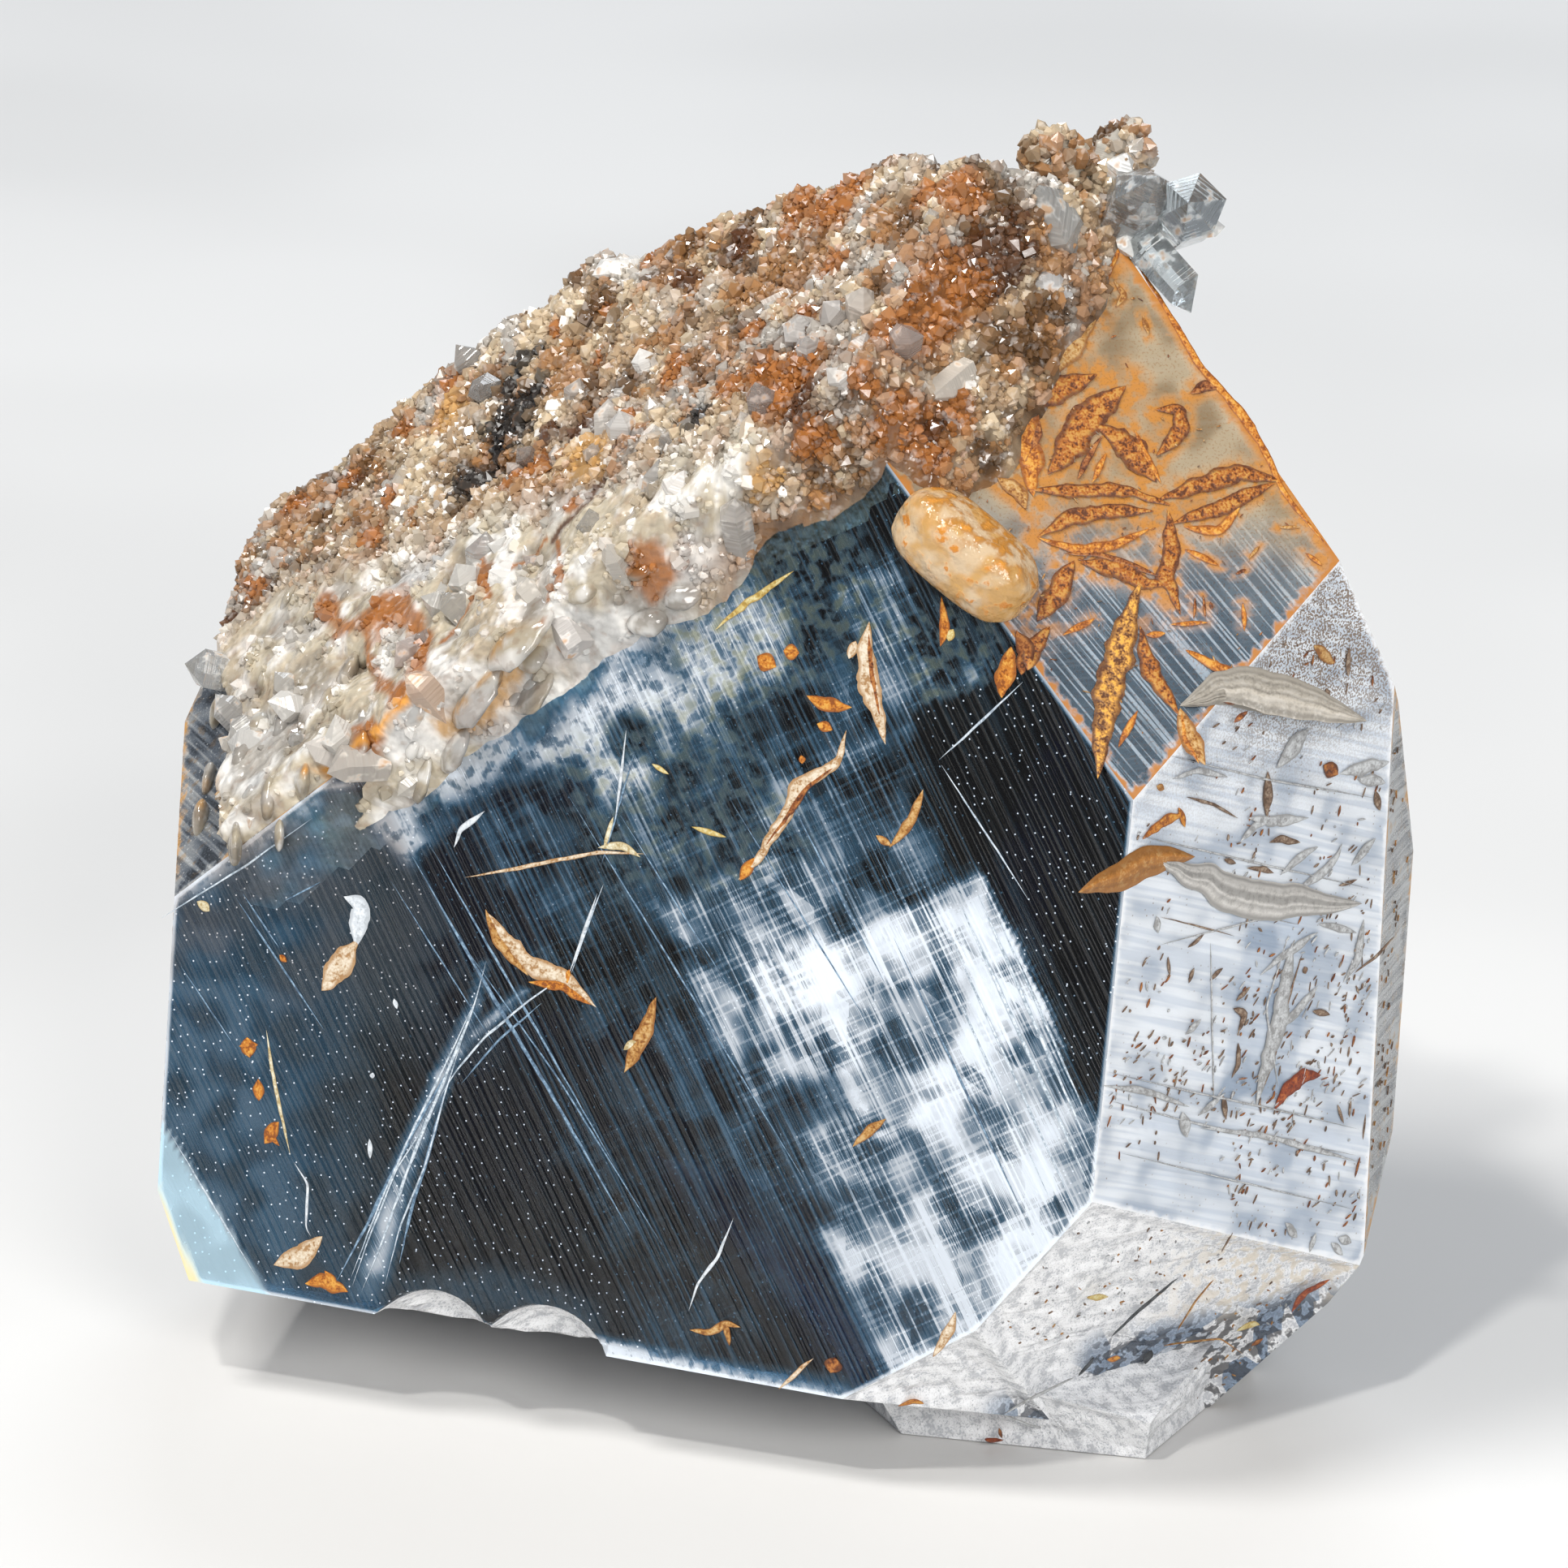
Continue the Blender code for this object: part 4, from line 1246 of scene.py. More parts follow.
        # Painted highlight: the face's edges are whitened, standing in for the light that they catch.
        ragged_edge = graph.total(graph.value_of("edge"), graph.product(pattern.blot, 0.5))
        rim = graph.ramp(ragged_edge, 0.25, 0.55, 0.8, 0.0)
        colour = graph.blend(rim, colour, self.bright_glass)
        solid = graph.total(graph.ramp(pattern.cloud, 0.25, 0.65, 0.92, 0.78), graph.product(rim, 0.2))
        return colour, graph.math("MINIMUM", solid, 0.96)

    def bevel_look(self, graph: NodeGraph, pattern: FacePattern) -> tuple[Socket, ...]:
        """The bevels: glassy white, finely broken, warm towards the right, with bluish clear steps."""
        broken = graph.total(graph.product(pattern.blot, 0.55), graph.product(pattern.fine, 0.45))
        glint = graph.value_of("glint")
        colour = graph.blend(graph.ramp(broken, 0.38, 0.50), self.dull_glass, self.bright_glass)
        colour = graph.blend(graph.ramp(pattern.fine, 0.54, 0.68, 0.0, 0.30), colour, self.grain_grey)
        sallow = graph.product(graph.value_of("sallow"), graph.ramp(pattern.blot, 0.46, 0.62), 0.7)
        colour = graph.blend(sallow, colour, self.sallow_glass)
        clear = graph.product(glint, graph.ramp(pattern.block, 0.45, 0.75))
        colour = graph.blend(clear, colour, self.step_blue)
        gap = graph.product(glint, graph.ramp(pattern.blot, 0.49, 0.54, 0.0, 0.85))
        colour = graph.blend(gap, colour, self.soot)
        contour = graph.math("ABSOLUTE", graph.math("SUBTRACT", pattern.blot, 0.5))
        crack = graph.ramp(contour, 0.0, 0.012, 0.55, 0.0)
        colour = graph.blend(graph.product(crack, graph.total(0.45, glint)), colour, self.soot)
        whole = graph.ramp(broken, 0.36, 0.58, 0.78, 0.96)
        return colour, graph.math("SUBTRACT", whole, graph.product(clear, 0.45), clamp=True)

    def prism_look(self, graph: NodeGraph, pattern: FacePattern) -> tuple[Socket, ...]:
        """The sides and back: clear, cross-striated, with veils, specks and rusty edges."""
        cloud, blot = pattern.cloud, pattern.blot
        rim = graph.ramp(graph.total(graph.value_of("edge"), graph.product(blot, 1.2)), 0.55, 1.0, 1.0, 0.0)
        solid = graph.total(
            graph.ramp(cloud, 0.36, 0.86, 0.0, 0.50),
            graph.ramp(pattern.growth, 0.46, 0.70, 0.0, 0.34),
            graph.product(pattern.specks, 0.6),
            graph.ramp(pattern.fine, 0.58, 0.72, 0.0, 0.16),
            graph.product(rim, 0.45),
            graph.product(graph.value_of("frost"), 0.72),
            0.06,
        )
        solid = graph.math("MINIMUM", solid, 0.92)
        colour = graph.blend(graph.ramp(solid, 0.0, 0.6), self.shade_blue, self.glassy_grey)
        colour = graph.blend(graph.ramp(blot, 0.56, 0.76, 0.0, 0.6), colour, self.side_brown)
        colour = graph.blend(graph.product(rim, graph.ramp(cloud, 0.40, 0.60)), colour, self.side_rust)
        return colour, solid

    def build(self) -> bpy.types.Material:
        """Makes the material: one look for each kind of face, mixed by the kind kept on the mesh."""
        graph = NodeGraph(self.name)
        pattern = self.pattern(graph)
        colour, solid = self.front_look(graph, pattern)
        roughness = graph.ramp(solid, 0.05, 0.9, 0.03, 0.32)
        looks = (
            (FaceKind.STAINED, self.stained_look(graph, pattern), (0.26, 0.46)),
            (FaceKind.PALE, self.pale_look(graph, pattern), (0.10, 0.30)),
            (FaceKind.BEVEL, self.bevel_look(graph, pattern), (0.04, 0.24)),
            (FaceKind.PRISM, self.prism_look(graph, pattern), (0.05, 0.32)),
        )
        for kind, (its_colour, its_solid), gloss in looks:
            mask = graph.value_of(kind.value)
            colour = graph.blend(mask, colour, its_colour)
            solid = graph.choose(mask, solid, its_solid)
            roughness = graph.choose(mask, roughness, graph.ramp(its_solid, 0.2, 0.9, *gloss))
        hairs = graph.product(pattern.hairs, graph.value_of("hair_relief"))
        growth = graph.product(pattern.growth, graph.value_of("growth_relief"))
        graph.relief(graph.total(hairs, growth), 0.10)
        graph.set(
            Base_Color=colour,
            Roughness=roughness,
            IOR=QUARTZ_IOR,
            Transmission_Weight=graph.rest(solid),
        )
        graph.absorb(self.depth_colour, self.depth_density)
        return graph.material


@dataclass(frozen=True)
class SugaryDruse:
    """Small glossy quartz grains, stained by iron, whose colour is kept on the mesh."""

    name: str
    see_through: float
    roughness: tuple[float, float]
    grain: float
    depth_mm: float
    umber: Colour = (0.22, 0.11, 0.05)
    white: Colour = (0.86, 0.84, 0.81)

    def build(self) -> bpy.types.Material:
        """Makes the material from the mesh's colour, mottled, with small dents where a depth is given."""
        graph = NodeGraph(self.name)
        mottle = graph.noise(graph.object_mm, 1.7, 2.0)
        colour = graph.blend(graph.ramp(mottle, 0.54, 0.70, 0.0, 0.30), graph.colour_of("tint"), self.umber)
        colour = graph.blend(graph.ramp(mottle, 0.30, 0.44, 0.24, 0.0), colour, self.white)
        fine = mottle
        if self.depth_mm > 0.0:
            fine = graph.noise(graph.object_mm, self.grain, 0.0)
            graph.relief(fine, self.depth_mm)
        graph.set(
            Base_Color=colour,
            Roughness=graph.ramp(fine, 0.35, 0.65, *self.roughness),
            IOR=QUARTZ_IOR,
            Transmission_Weight=self.see_through,
        )
        return graph.material


@dataclass(frozen=True)
class SmallClearCrystal:
    """Glassy small crystals: clear to cloudy by a value on the mesh, striated across, tinted."""

    name: str = "Small clear crystals"
    roughness: float = 0.04
    depth_colour: Colour = (0.40, 0.42, 0.44)
    depth_density: float = 150.0
    rust: Colour = (0.52, 0.26, 0.08)

    def build(self) -> bpy.types.Material:
        """Makes the material, with cross striations by the height along each crystal."""
        graph = NodeGraph(self.name)
        veins = graph.noise(graph.object_mm, 1.3, 2.0)
        cloudy = graph.total(graph.value_of("cloud"), graph.ramp(veins, 0.52, 0.68, 0.0, 0.45))
        cloudy = graph.math("MINIMUM", cloudy, 0.95)
        ribs = graph.line_noise(graph.value_of("along"), 6.0)
        colour = graph.blend(graph.ramp(veins, 0.60, 0.74, 0.0, 0.7), graph.colour_of("tint"), self.rust)
        graph.relief(ribs, 0.04)
        graph.set(
            Base_Color=colour,
            Roughness=graph.ramp(cloudy, 0.1, 0.9, self.roughness, 0.26),
            IOR=QUARTZ_IOR,
            Transmission_Weight=graph.rest(cloudy),
        )
        graph.absorb(self.depth_colour, self.depth_density)
        return graph.material


@dataclass(frozen=True)
class HoneyQuartz:
    """Peach to honey coloured quartz with orange iron spots under a glossy skin."""

    name: str = "Honey quartz"
    peach: Colour = (0.96, 0.72, 0.46)
    honey: Colour = (0.86, 0.50, 0.17)
    rust: Colour = (0.58, 0.22, 0.03)
    edge_rust: Colour = (0.66, 0.28, 0.04)

    def build(self) -> bpy.types.Material:
        """Makes the material: a honey cloud over peach, orange blots, and a wavy skin."""
        graph = NodeGraph(self.name)
        cloud = graph.noise(graph.object_mm, 0.7, 2.0)
        blots = graph.noise(graph.object_mm, 1.5, 3.0)
        colour = graph.blend(graph.ramp(cloud, 0.42, 0.62), self.peach, self.honey)
        colour = graph.blend(graph.ramp(blots, 0.58, 0.68), colour, self.rust)
        edge = graph.product(graph.value_of("edge"), graph.ramp(blots, 0.40, 0.60))
        colour = graph.blend(edge, colour, self.edge_rust)
        graph.relief(blots, 0.22)
        graph.set(
            Base_Color=colour,
            Roughness=graph.ramp(blots, 0.45, 0.70, 0.07, 0.28),
            IOR=QUARTZ_IOR,
            Transmission_Weight=graph.ramp(blots, 0.55, 0.70, 0.42, 0.05),
        )
        return graph.material


@dataclass(frozen=True)
class IronStain:
    """Thin iron film: three colours kept on the mesh, mottled together, rougher than the quartz."""

    name: str = "Iron stain"

    def build(self) -> bpy.types.Material:
        """Makes the material from the pale, middle and deep colour of each mark."""
        graph = NodeGraph(self.name)
        coarse = graph.noise(graph.object_mm, 2.8, 2.0)
        fine = graph.noise(graph.object_mm, 9.0, 1.0)
        mixed = graph.total(graph.product(coarse, 0.6), graph.product(fine, 0.4))
        deep = graph.colour_of("deep")
        colour = graph.blend(graph.ramp(mixed, 0.40, 0.49), deep, graph.colour_of("middle"))
        colour = graph.blend(graph.ramp(mixed, 0.50, 0.60), colour, graph.colour_of("pale_tone"))
        ragged_edge = graph.total(graph.value_of("edge"), graph.product(fine, 0.35))
        colour = graph.blend(graph.ramp(ragged_edge, 0.72, 1.05, 0.0, 0.85), colour, deep)
        graph.relief(coarse, 0.04)
        graph.set(
            Base_Color=colour,
            Roughness=graph.ramp(fine, 0.3, 0.7, 0.30, 0.58),
            Transmission_Weight=0.10,
            IOR=QUARTZ_IOR,
        )
        return graph.material


@dataclass(frozen=True)
class PlaneFace:
    """One flat face of a crystal: its plane, its kind and its corners in order."""

    name: str
    kind: FaceKind
    rings: int
    normal: np.ndarray
    corners: np.ndarray

    @property
    def across(self) -> np.ndarray:
        """The level direction in the face, to the right of someone who faces it."""
        side = np.cross(UP, self.normal)
        if np.linalg.norm(side) < 1e-6:
            return np.array((1.0, 0.0, 0.0))
        return side / np.linalg.norm(side)

    @property
    def upward(self) -> np.ndarray:
        """The direction up the face."""
        return np.cross(self.normal, self.across)

    def point(self, places: np.ndarray, height: np.ndarray, distance: float) -> np.ndarray:
        """Points over places on the face.

        Args:
            places: (n, 2) places in mm.
            height: height over the plane in mm.
            distance: the plane's distance from the middle.

        Returns:
            Points from the crystal's middle, in mm.
        """
        return (
            places[:, :1] * self.across
            + places[:, 1:] * self.upward
            + (distance + height[:, None]) * self.normal
        )

    def edge_distance(self, points: np.ndarray) -> np.ndarray:
        """Distance in the plane from each point to the nearest edge line, in mm."""
        ends = np.roll(self.corners, -1, axis=0)
        inward = np.cross(self.normal, unit_rows(ends - self.corners))
        away = np.einsum("nkc,kc->nk", points[:, None, :] - self.corners[None, :, :], inward)
        return away.min(axis=1)

    def rim(self, step: float) -> np.ndarray:
        """Points along the edges, each edge cut into equal parts of about step.

        The parts are counted and placed from the end that sorts first, so that the face on the
        other side of an edge gets the very same points.
        """
        pieces = []
        for start, end in zip(self.corners, np.roll(self.corners, -1, axis=0)):
            count = max(1, int(round(float(np.linalg.norm(end - start)) / step)))
            share = np.arange(count + 1)[:, None] / count
            swap = tuple(start) > tuple(end)
            low, high = (end, start) if swap else (start, end)
            line = low + (high - low) * share
            pieces.append((line[::-1] if swap else line)[:-1])
        return np.concatenate(pieces)


def stroke(places: np.ndarray, line: tuple[Place, ...], widths: tuple[float, float]) -> np.ndarray:
    """How near each place is to a line: 1 on it, falling to 0 at its half-width.

    The nearest point of each straight part is found by projection held between the part's ends, and
    the half-width changes evenly from the first width to the last along the whole line.

    Args:
        places: (n, 2) places in mm.
        line: the points of the line.
        widths: half-width at its start and end.

    Returns:
        A value from 0 to 1 for each place.
    """
    path = np.array(line)
    lengths = np.linalg.norm(np.diff(path, axis=0), axis=1)
    so_far = np.concatenate([[0.0], np.cumsum(lengths)])
    best = np.zeros(len(places))
    for start, end, length, before in zip(path[:-1], path[1:], lengths, so_far[:-1]):
        share = np.clip((places - start) @ (end - start) / length**2, 0.0, 1.0)
        gap = np.linalg.norm(places - (start + share[:, None] * (end - start)), axis=1)
        width = widths[0] + (widths[1] - widths[0]) * (before + share * length) / so_far[-1]
        best = np.maximum(best, 1.0 - smooth(0.0, 1.0, gap / width))
    return best


def patch(places: np.ndarray, centre: Place, size: Place, turn: float, soft: float) -> np.ndarray:
    """A soft-edged box: 1 inside, falling to 0 over the soft distance outside it.

    Args:
        places: (n, 2) places in mm.
        centre: the box's middle.
        size: half its width and height.
        turn: its turn in degrees.
        soft: how far its edge fades, in mm.

    Returns:
        A value from 0 to 1 for each place.
    """
    c, s = math.cos(math.radians(turn)), math.sin(math.radians(turn))
    local = (places - np.array(centre)) @ np.array(((c, -s), (s, c)))
    over = np.abs(local) - np.array(size)
    return 1.0 - smooth(0.0, soft, over.max(axis=1))


# A soft box: middle, half its size over and along the lines, turn, fade, strength.
SoftBox = tuple[Place, Place, float, float, float]


def strongest(places: np.ndarray, boxes: tuple[SoftBox, ...]) -> np.ndarray:
    """At each place the greatest of strength * patch over the boxes."""
    shares = [strength * patch(places, *box) for *box, strength in boxes]
    return np.max(shares, axis=0)


@dataclass
class FrontField:
    """Where the front face is veiled, milky, lined, warm or feathered, as values on its places."""

    veils: tuple[SoftBox, ...] = (
        ((11.7, -4.1), (5.4, 4.4), 31.0, 1.4, 1.00),
        ((15.6, -9.5), (3.6, 7.0), 31.0, 1.4, 0.95),
        ((13.2, -16.5), (4.6, 3.4), 31.0, 1.6, 0.78),
        ((9.8, -12.6), (2.6, 3.0), 31.0, 1.6, 0.62),
        ((3.6, -3.5), (3.2, 4.4), 31.0, 2.2, 0.72),
        ((-2.2, -6.0), (3.0, 5.5), 31.0, 2.4, 0.20),
        ((6.8, 2.6), (3.6, 4.4), 31.0, 1.8, 0.46),
        ((0.7, 8.0), (6.0, 4.2), 31.0, 2.6, 0.36),
        ((-7.3, 0.5), (2.8, 3.2), 31.0, 1.8, 0.26),
        ((5.6, -10.2), (3.6, 3.8), 31.0, 2.0, 0.26),
        ((8.7, 12.8), (1.3, 3.6), 31.0, 1.2, 0.60),
        ((12.2, 10.0), (1.5, 1.6), 31.0, 1.2, 0.55),
        ((2.0, -14.5), (6.0, 5.0), 31.0, 3.0, 0.10),
    )
    clear_patch: SoftBox = ((17.4, 3.2), (3.3, 9.5), 31.0, 0.35, 1.0)
    milks: tuple[SoftBox, ...] = (
        ((-8.6, 9.6), (2.6, 3.4), 20.0, 1.6, 0.62),
        ((-4.2, 7.6), (2.4, 1.4), 35.0, 2.0, 0.50),
        ((-5.0, 13.5), (2.6, 1.6), 35.0, 1.8, 0.60),
        ((-1.0, 11.0), (3.2, 1.2), 38.0, 2.0, 0.40),
        ((-12.5, 5.4), (2.4, 1.0), 40.0, 1.5, 0.55),
        ((-15.5, 1.6), (1.2, 0.9), 50.0, 1.0, 0.60),
        ((4.6, -3.4), (1.6, 1.0), 31.0, 1.2, 0.45),
    )
    milk_strokes: tuple[tuple[tuple[Place, ...], tuple[float, float], float], ...] = (
        (((-4.5, -22.9), (-1.5, -23.4), (3.0, -24.2), (8.0, -24.8)), (0.7, 2.4), 0.85),
        (((-14.0, -21.8), (-9.5, -20.9), (-5.5, -22.0)), (1.6, 2.2), 0.07),
        (((-28.4, -4.1), (-20.6, 1.9)), (0.75, 0.9), 0.34),
    )
    # Painted reflection of a corner facet seen through the lower left, light blue with a yellow part:
    # the line that bounds it, its strength, the yellow part
    reflected_corner_line: tuple[Place, Place] = ((-27.6, -15.2), (-22.3, -22.0))
    reflected_corner_strength: float = 0.50
    reflected_yellow_line: tuple[Place, Place] = ((-27.3, -19.4), (-25.4, -22.8))
    olive_places: tuple[SoftBox, ...] = (
        ((2.5, 13.5), (4.6, 2.4), 31.0, 2.0, 0.9),
        ((-2.5, 5.0), (4.0, 3.0), 31.0, 2.0, 0.7),
        ((1.0, 3.5), (2.5, 2.0), 31.0, 1.5, 0.7),
        ((11.6, 12.6), (2.0, 2.4), 31.0, 1.0, 0.9),
    )
    feather_lines: tuple[tuple[tuple[Place, ...], tuple[float, float]], ...] = (
        (
            (
                (-11.3, -4.9), (-11.8, -7.2), (-12.8, -9.8), (-13.9, -12.8),
                (-15.0, -16.0), (-15.9, -19.4), (-16.5, -22.0),
            ),
            (0.35, 1.35),
        ),
        (((-9.2, -6.0), (-11.8, -8.6), (-13.4, -10.8)), (0.35, 0.55)),
        (((-20.9, 2.6), (-13.0, 4.2)), (0.35, 0.40)),
    )
    seed: int = 31

    def values(self, places: np.ndarray) -> dict[str, np.ndarray]:
        """All the values of the front face.

        Args:
            places: (n, 2) places in mm.

        Returns:
            Values from 0 to 1 by name.
        """
        flat = np.concatenate([places, np.zeros((len(places), 1))], axis=1)
        ragged = rough_noise(flat, 2.4, self.seed)
        veil = strongest(places, self.veils)
        cleared = strongest(places, (self.clear_patch,))
        milk = strongest(places, self.milks) * smooth(0.25, 0.55, ragged)
        for line, widths, strength in self.milk_strokes:
            milk = np.maximum(milk, strength * stroke(places, line, widths))
        olive = strongest(places, self.olive_places)
        feather = np.zeros(len(places))
        for line, widths in self.feather_lines:
            feather = np.maximum(feather, stroke(places, line, widths))
        # Where the painted reflection of the corner facet lies, and its yellow part.
        corner = self.beyond(places, self.reflected_corner_line)
        yellow = self.beyond(places, self.reflected_yellow_line)
        right_of = smooth(-15.9, -14.9, places[:, 0] + 0.60 * places[:, 1])
        brown = (1.0 - right_of) * smooth(0.30, 0.60, ragged) * smooth(-12.0, -4.0, places[:, 1])
        return {
            "veil": veil * (1.0 - 0.95 * cleared) * (0.60 + 0.40 * smooth(0.3, 0.6, ragged)),
            "milk": milk * (1.0 - cleared),
            "lines": (0.10 + 0.90 * right_of) * (1.0 - 0.85 * cleared),
            "feather": feather,
            "olive": olive * (1.0 - cleared),
            "warm": 0.55 * brown,
            "yellow": 0.95 * yellow,
            "frost": corner * self.reflected_corner_strength,
            "dim": smooth(-16.0, -25.0, places[:, 0] + 0.1 * places[:, 1]),
        }

    @staticmethod
    def beyond(places: np.ndarray, line: tuple[Place, Place]) -> np.ndarray:
        """1 to the left of and under a line between two places, 0 on its other side, over 0.3 mm."""
        start, end = np.array(line[0]), np.array(line[1])
        along = (end - start) / np.linalg.norm(end - start)
        away = (places - start) @ np.array((along[1], -along[0]))
        return smooth(-0.15, 0.15, away)


@dataclass
class FacetedCrystal:
    """A crystal bounded by flat faces, each a fan of cells round its centre, closed at the edges."""

    name: str
    faces: Faces
    middle: Point = (0.0, 0.0, 0.0)
    chips: tuple[tuple[Point, float], ...] = ()
    relief_mm: float = 1.0
    front: FrontField = field(default_factory=FrontField)
    field_names: tuple[str, ...] = (
        "veil", "milk", "lines", "feather", "olive", "warm", "yellow", "cover", "stain",
        "shade", "dust", "sallow", "glint", "frost", "dim",
    )

    def plane_faces(self) -> dict[str, PlaneFace]:
        """The faces with their corners.

        Every corner is a point where three planes meet that lies inside all the others. They are
        found for all triples at once, and the corners on a plane are put in order of their angle
        round their own middle.
        """
        normals = np.array([direction(face[0], face[1]) for face in self.faces.values()])
        distances = np.array([face[2] for face in self.faces.values()])
        triples = np.array(list(itertools.combinations(range(len(normals)), 3)))
        planes = normals[triples]
        solvable = np.abs(np.linalg.det(planes)) > 1e-6
        meets = np.linalg.solve(planes[solvable], distances[triples[solvable]][..., None])[..., 0]
        inside = (meets @ normals.T <= distances + 1e-6).all(axis=1)
        corners = np.unique(np.round(meets[inside], 5), axis=0)
        found = {}
        for name, normal, distance, face in zip(self.faces, normals, distances, self.faces.values()):
            mine = corners[np.abs(corners @ normal - distance) < 1e-4]
            if len(mine) < 3:
                continue
            flat = PlaneFace(name, face[3], face[4], normal, mine)
            around = mine - mine.mean(axis=0)
            order = np.argsort(np.arctan2(around @ flat.upward, around @ flat.across))
            found[name] = PlaneFace(name, face[3], face[4], normal, mine[order])
        return found

    def depth(self, face: PlaneFace, points: np.ndarray, edge: np.ndarray) -> np.ndarray:
        """How far the surface lies under the flat plane, in mm.

        Bevels are stepped: a rough noise is cut into levels with rounded risers. The others have
        low growth hills. All of it fades to nothing over the last 0.9 mm before an edge.

        Args:
            face: the flat face.
            points: places in mm.
            edge: distance to the nearest edge in mm.

        Returns:
            Depths of 0 or more.
        """
        fade = smooth(0.0, 0.9, edge)
        hills = rough_noise(points, 6.0, 3)
        if face.kind is FaceKind.BEVEL and face.name not in ("base", "low"):
            levels = rough_noise(points * np.array((1.0, 1.0, 1.6)), 3.4, 12) * 7.0
            stepped = np.floor(levels) + smooth(0.55, 1.0, levels - np.floor(levels))
            return self.relief_mm * fade * (0.13 * stepped - 0.10 + 0.25 * rough_noise(points, 0.9, 8))
        if face.kind is FaceKind.PALE:
            return self.relief_mm * fade * (0.10 * hills + 0.06 * lattice_noise(points, 1.1, 9))
        if face.kind is FaceKind.FRONT:
            return self.relief_mm * fade * 0.05 * hills
        return self.relief_mm * fade * (0.12 * hills if face.name != "base" else 0.0)

    def fan(self, face: PlaneFace) -> Surface:
        """A face as rings of cells round its centre.

        A point is centre + share * (rim point - centre), with the share going evenly from 0 at the
        centre to 1 at the rim, and the relief taken off along the face's direction.

        Args:
            face: the flat face.

        Returns:
            The face's surface with its values.
        """
        rim = face.rim(RIM_STEP)
        centre = face.corners.mean(axis=0)
        share = (np.arange(1, face.rings + 1) / face.rings)[:, None, None]
        rings = centre + share * (rim - centre)[None]
        count = len(rim)
        flat = np.concatenate([centre[None], rings.reshape(-1, 3)])
        edge = np.maximum(face.edge_distance(flat), 0.0)
        points = flat - face.normal * self.depth(face, flat, edge)[:, None]
        turn = np.arange(count)
        step = (turn + 1) % count
        triangles = np.stack([np.zeros(count, int), 1 + turn, 1 + step], axis=1)
        quads = ring_cells(face.rings - 1, count, 1)
        place = np.stack([flat @ face.across, flat @ face.upward], axis=1)
        return Surface(points, quads, triangles, self.values(face, flat, place, edge), place)

    def values(
        self, face: PlaneFace, points: np.ndarray, place: np.ndarray, edge: np.ndarray
    ) -> dict[str, np.ndarray]:
        """The values that the clear quartz reads on one face.

        Args:
            face: the flat face.
            points: points in mm.
            place: places on the face.
            edge: distance to the nearest edge.

        Returns:
            Values by name.
        """
        values = {kind.value: np.full(len(points), float(face.kind is kind)) for kind in FaceKind}
        values["edge"] = edge
        for key, strength in zip(("hair_relief", "growth_relief"), LINE_RELIEF[face.kind]):
            values[key] = np.full(len(points), strength)
        nothing = np.zeros(len(points))
        values.update({key: nothing for key in self.field_names})
        u, v = place.T
        if face.kind is FaceKind.FRONT:
            values.update(self.front.values(place))
        elif face.kind is FaceKind.STAINED:
            halo = np.zeros(len(points))
            for mark in STAINED_MARKS:
                if mark.tone not in (Tone.SPEAR, Tone.LENS):
                    width = 2.6 * mark.half_width + 0.35
                    halo = np.maximum(halo, stroke(place, mark.line, (width, width)))
            ragged = rough_noise(points, 1.6, 21)
            values["stain"] = smooth(0.15, 0.85, halo + 0.5 * (ragged - 0.5)) * smooth(1.0, 6.0, v)
            upper = smooth(4.0, 11.0, v + 0.18 * (u - 12.0) + 3.0 * (ragged - 0.5))
            values["cover"] = 0.10 + 0.90 * upper
        elif face.kind is FaceKind.PALE:
            window = patch(place, (10.6, -4.6), (2.2, 4.6), -14.0, 0.5) * 0.55
            foot = patch(place, (8.0, -13.0), (6.0, 2.2), -14.0, 2.0) * 0.22
            values["shade"] = np.maximum(window, foot)
            values["dust"] = 0.75 * smooth(6.0, 11.0, v) * smooth(7.0, 12.0, u) + 0.25 * smooth(2.0, 9.0, v)
        elif face.kind is FaceKind.BEVEL:
            values["sallow"] = smooth(8.0, 15.0, u)
            values["glint"] = smooth(6.0, 8.0, u) * smooth(-9.5, -11.5, v)
        elif face.name == "narrow":
            values["frost"] = nothing + 0.45
        return values

    def chipped(self, points: np.ndarray) -> np.ndarray:
        """Draws points in to the chip balls.

        Seen from the crystal's middle, a ball starts at a distance t = d.c - sqrt((d.c)^2 - (c.c - r^2))
        along a direction d, and no point on that direction stays further out than t.
        """
        far = np.linalg.norm(points, axis=1)
        ways = points / np.maximum(far, 1e-9)[:, None]
        for middle, radius in self.chips:
            centre = np.array(middle)
            along = ways @ centre
            inside = along**2 - (centre @ centre - radius**2)
            start = along - np.sqrt(np.maximum(inside, 0.0))
            hit = (inside > 0.0) & (along > 0.0)
            far = np.where(hit, np.minimum(far, start), far)
        return ways * far[:, None]

    def build(self, material: bpy.types.Material) -> bpy.types.Object:
        """Makes the crystal's object.

        Args:
            material: the clear quartz.

        Returns:
            The object.
        """
        surface = Surface.joined([self.fan(face) for face in self.plane_faces().values()])
        if self.chips:
            surface.points = self.chipped(surface.points)
        surface.points = surface.points + np.array(self.middle)
        return Piece(self.name, Slot.CLEAR, material, 14.0, True).make(surface)


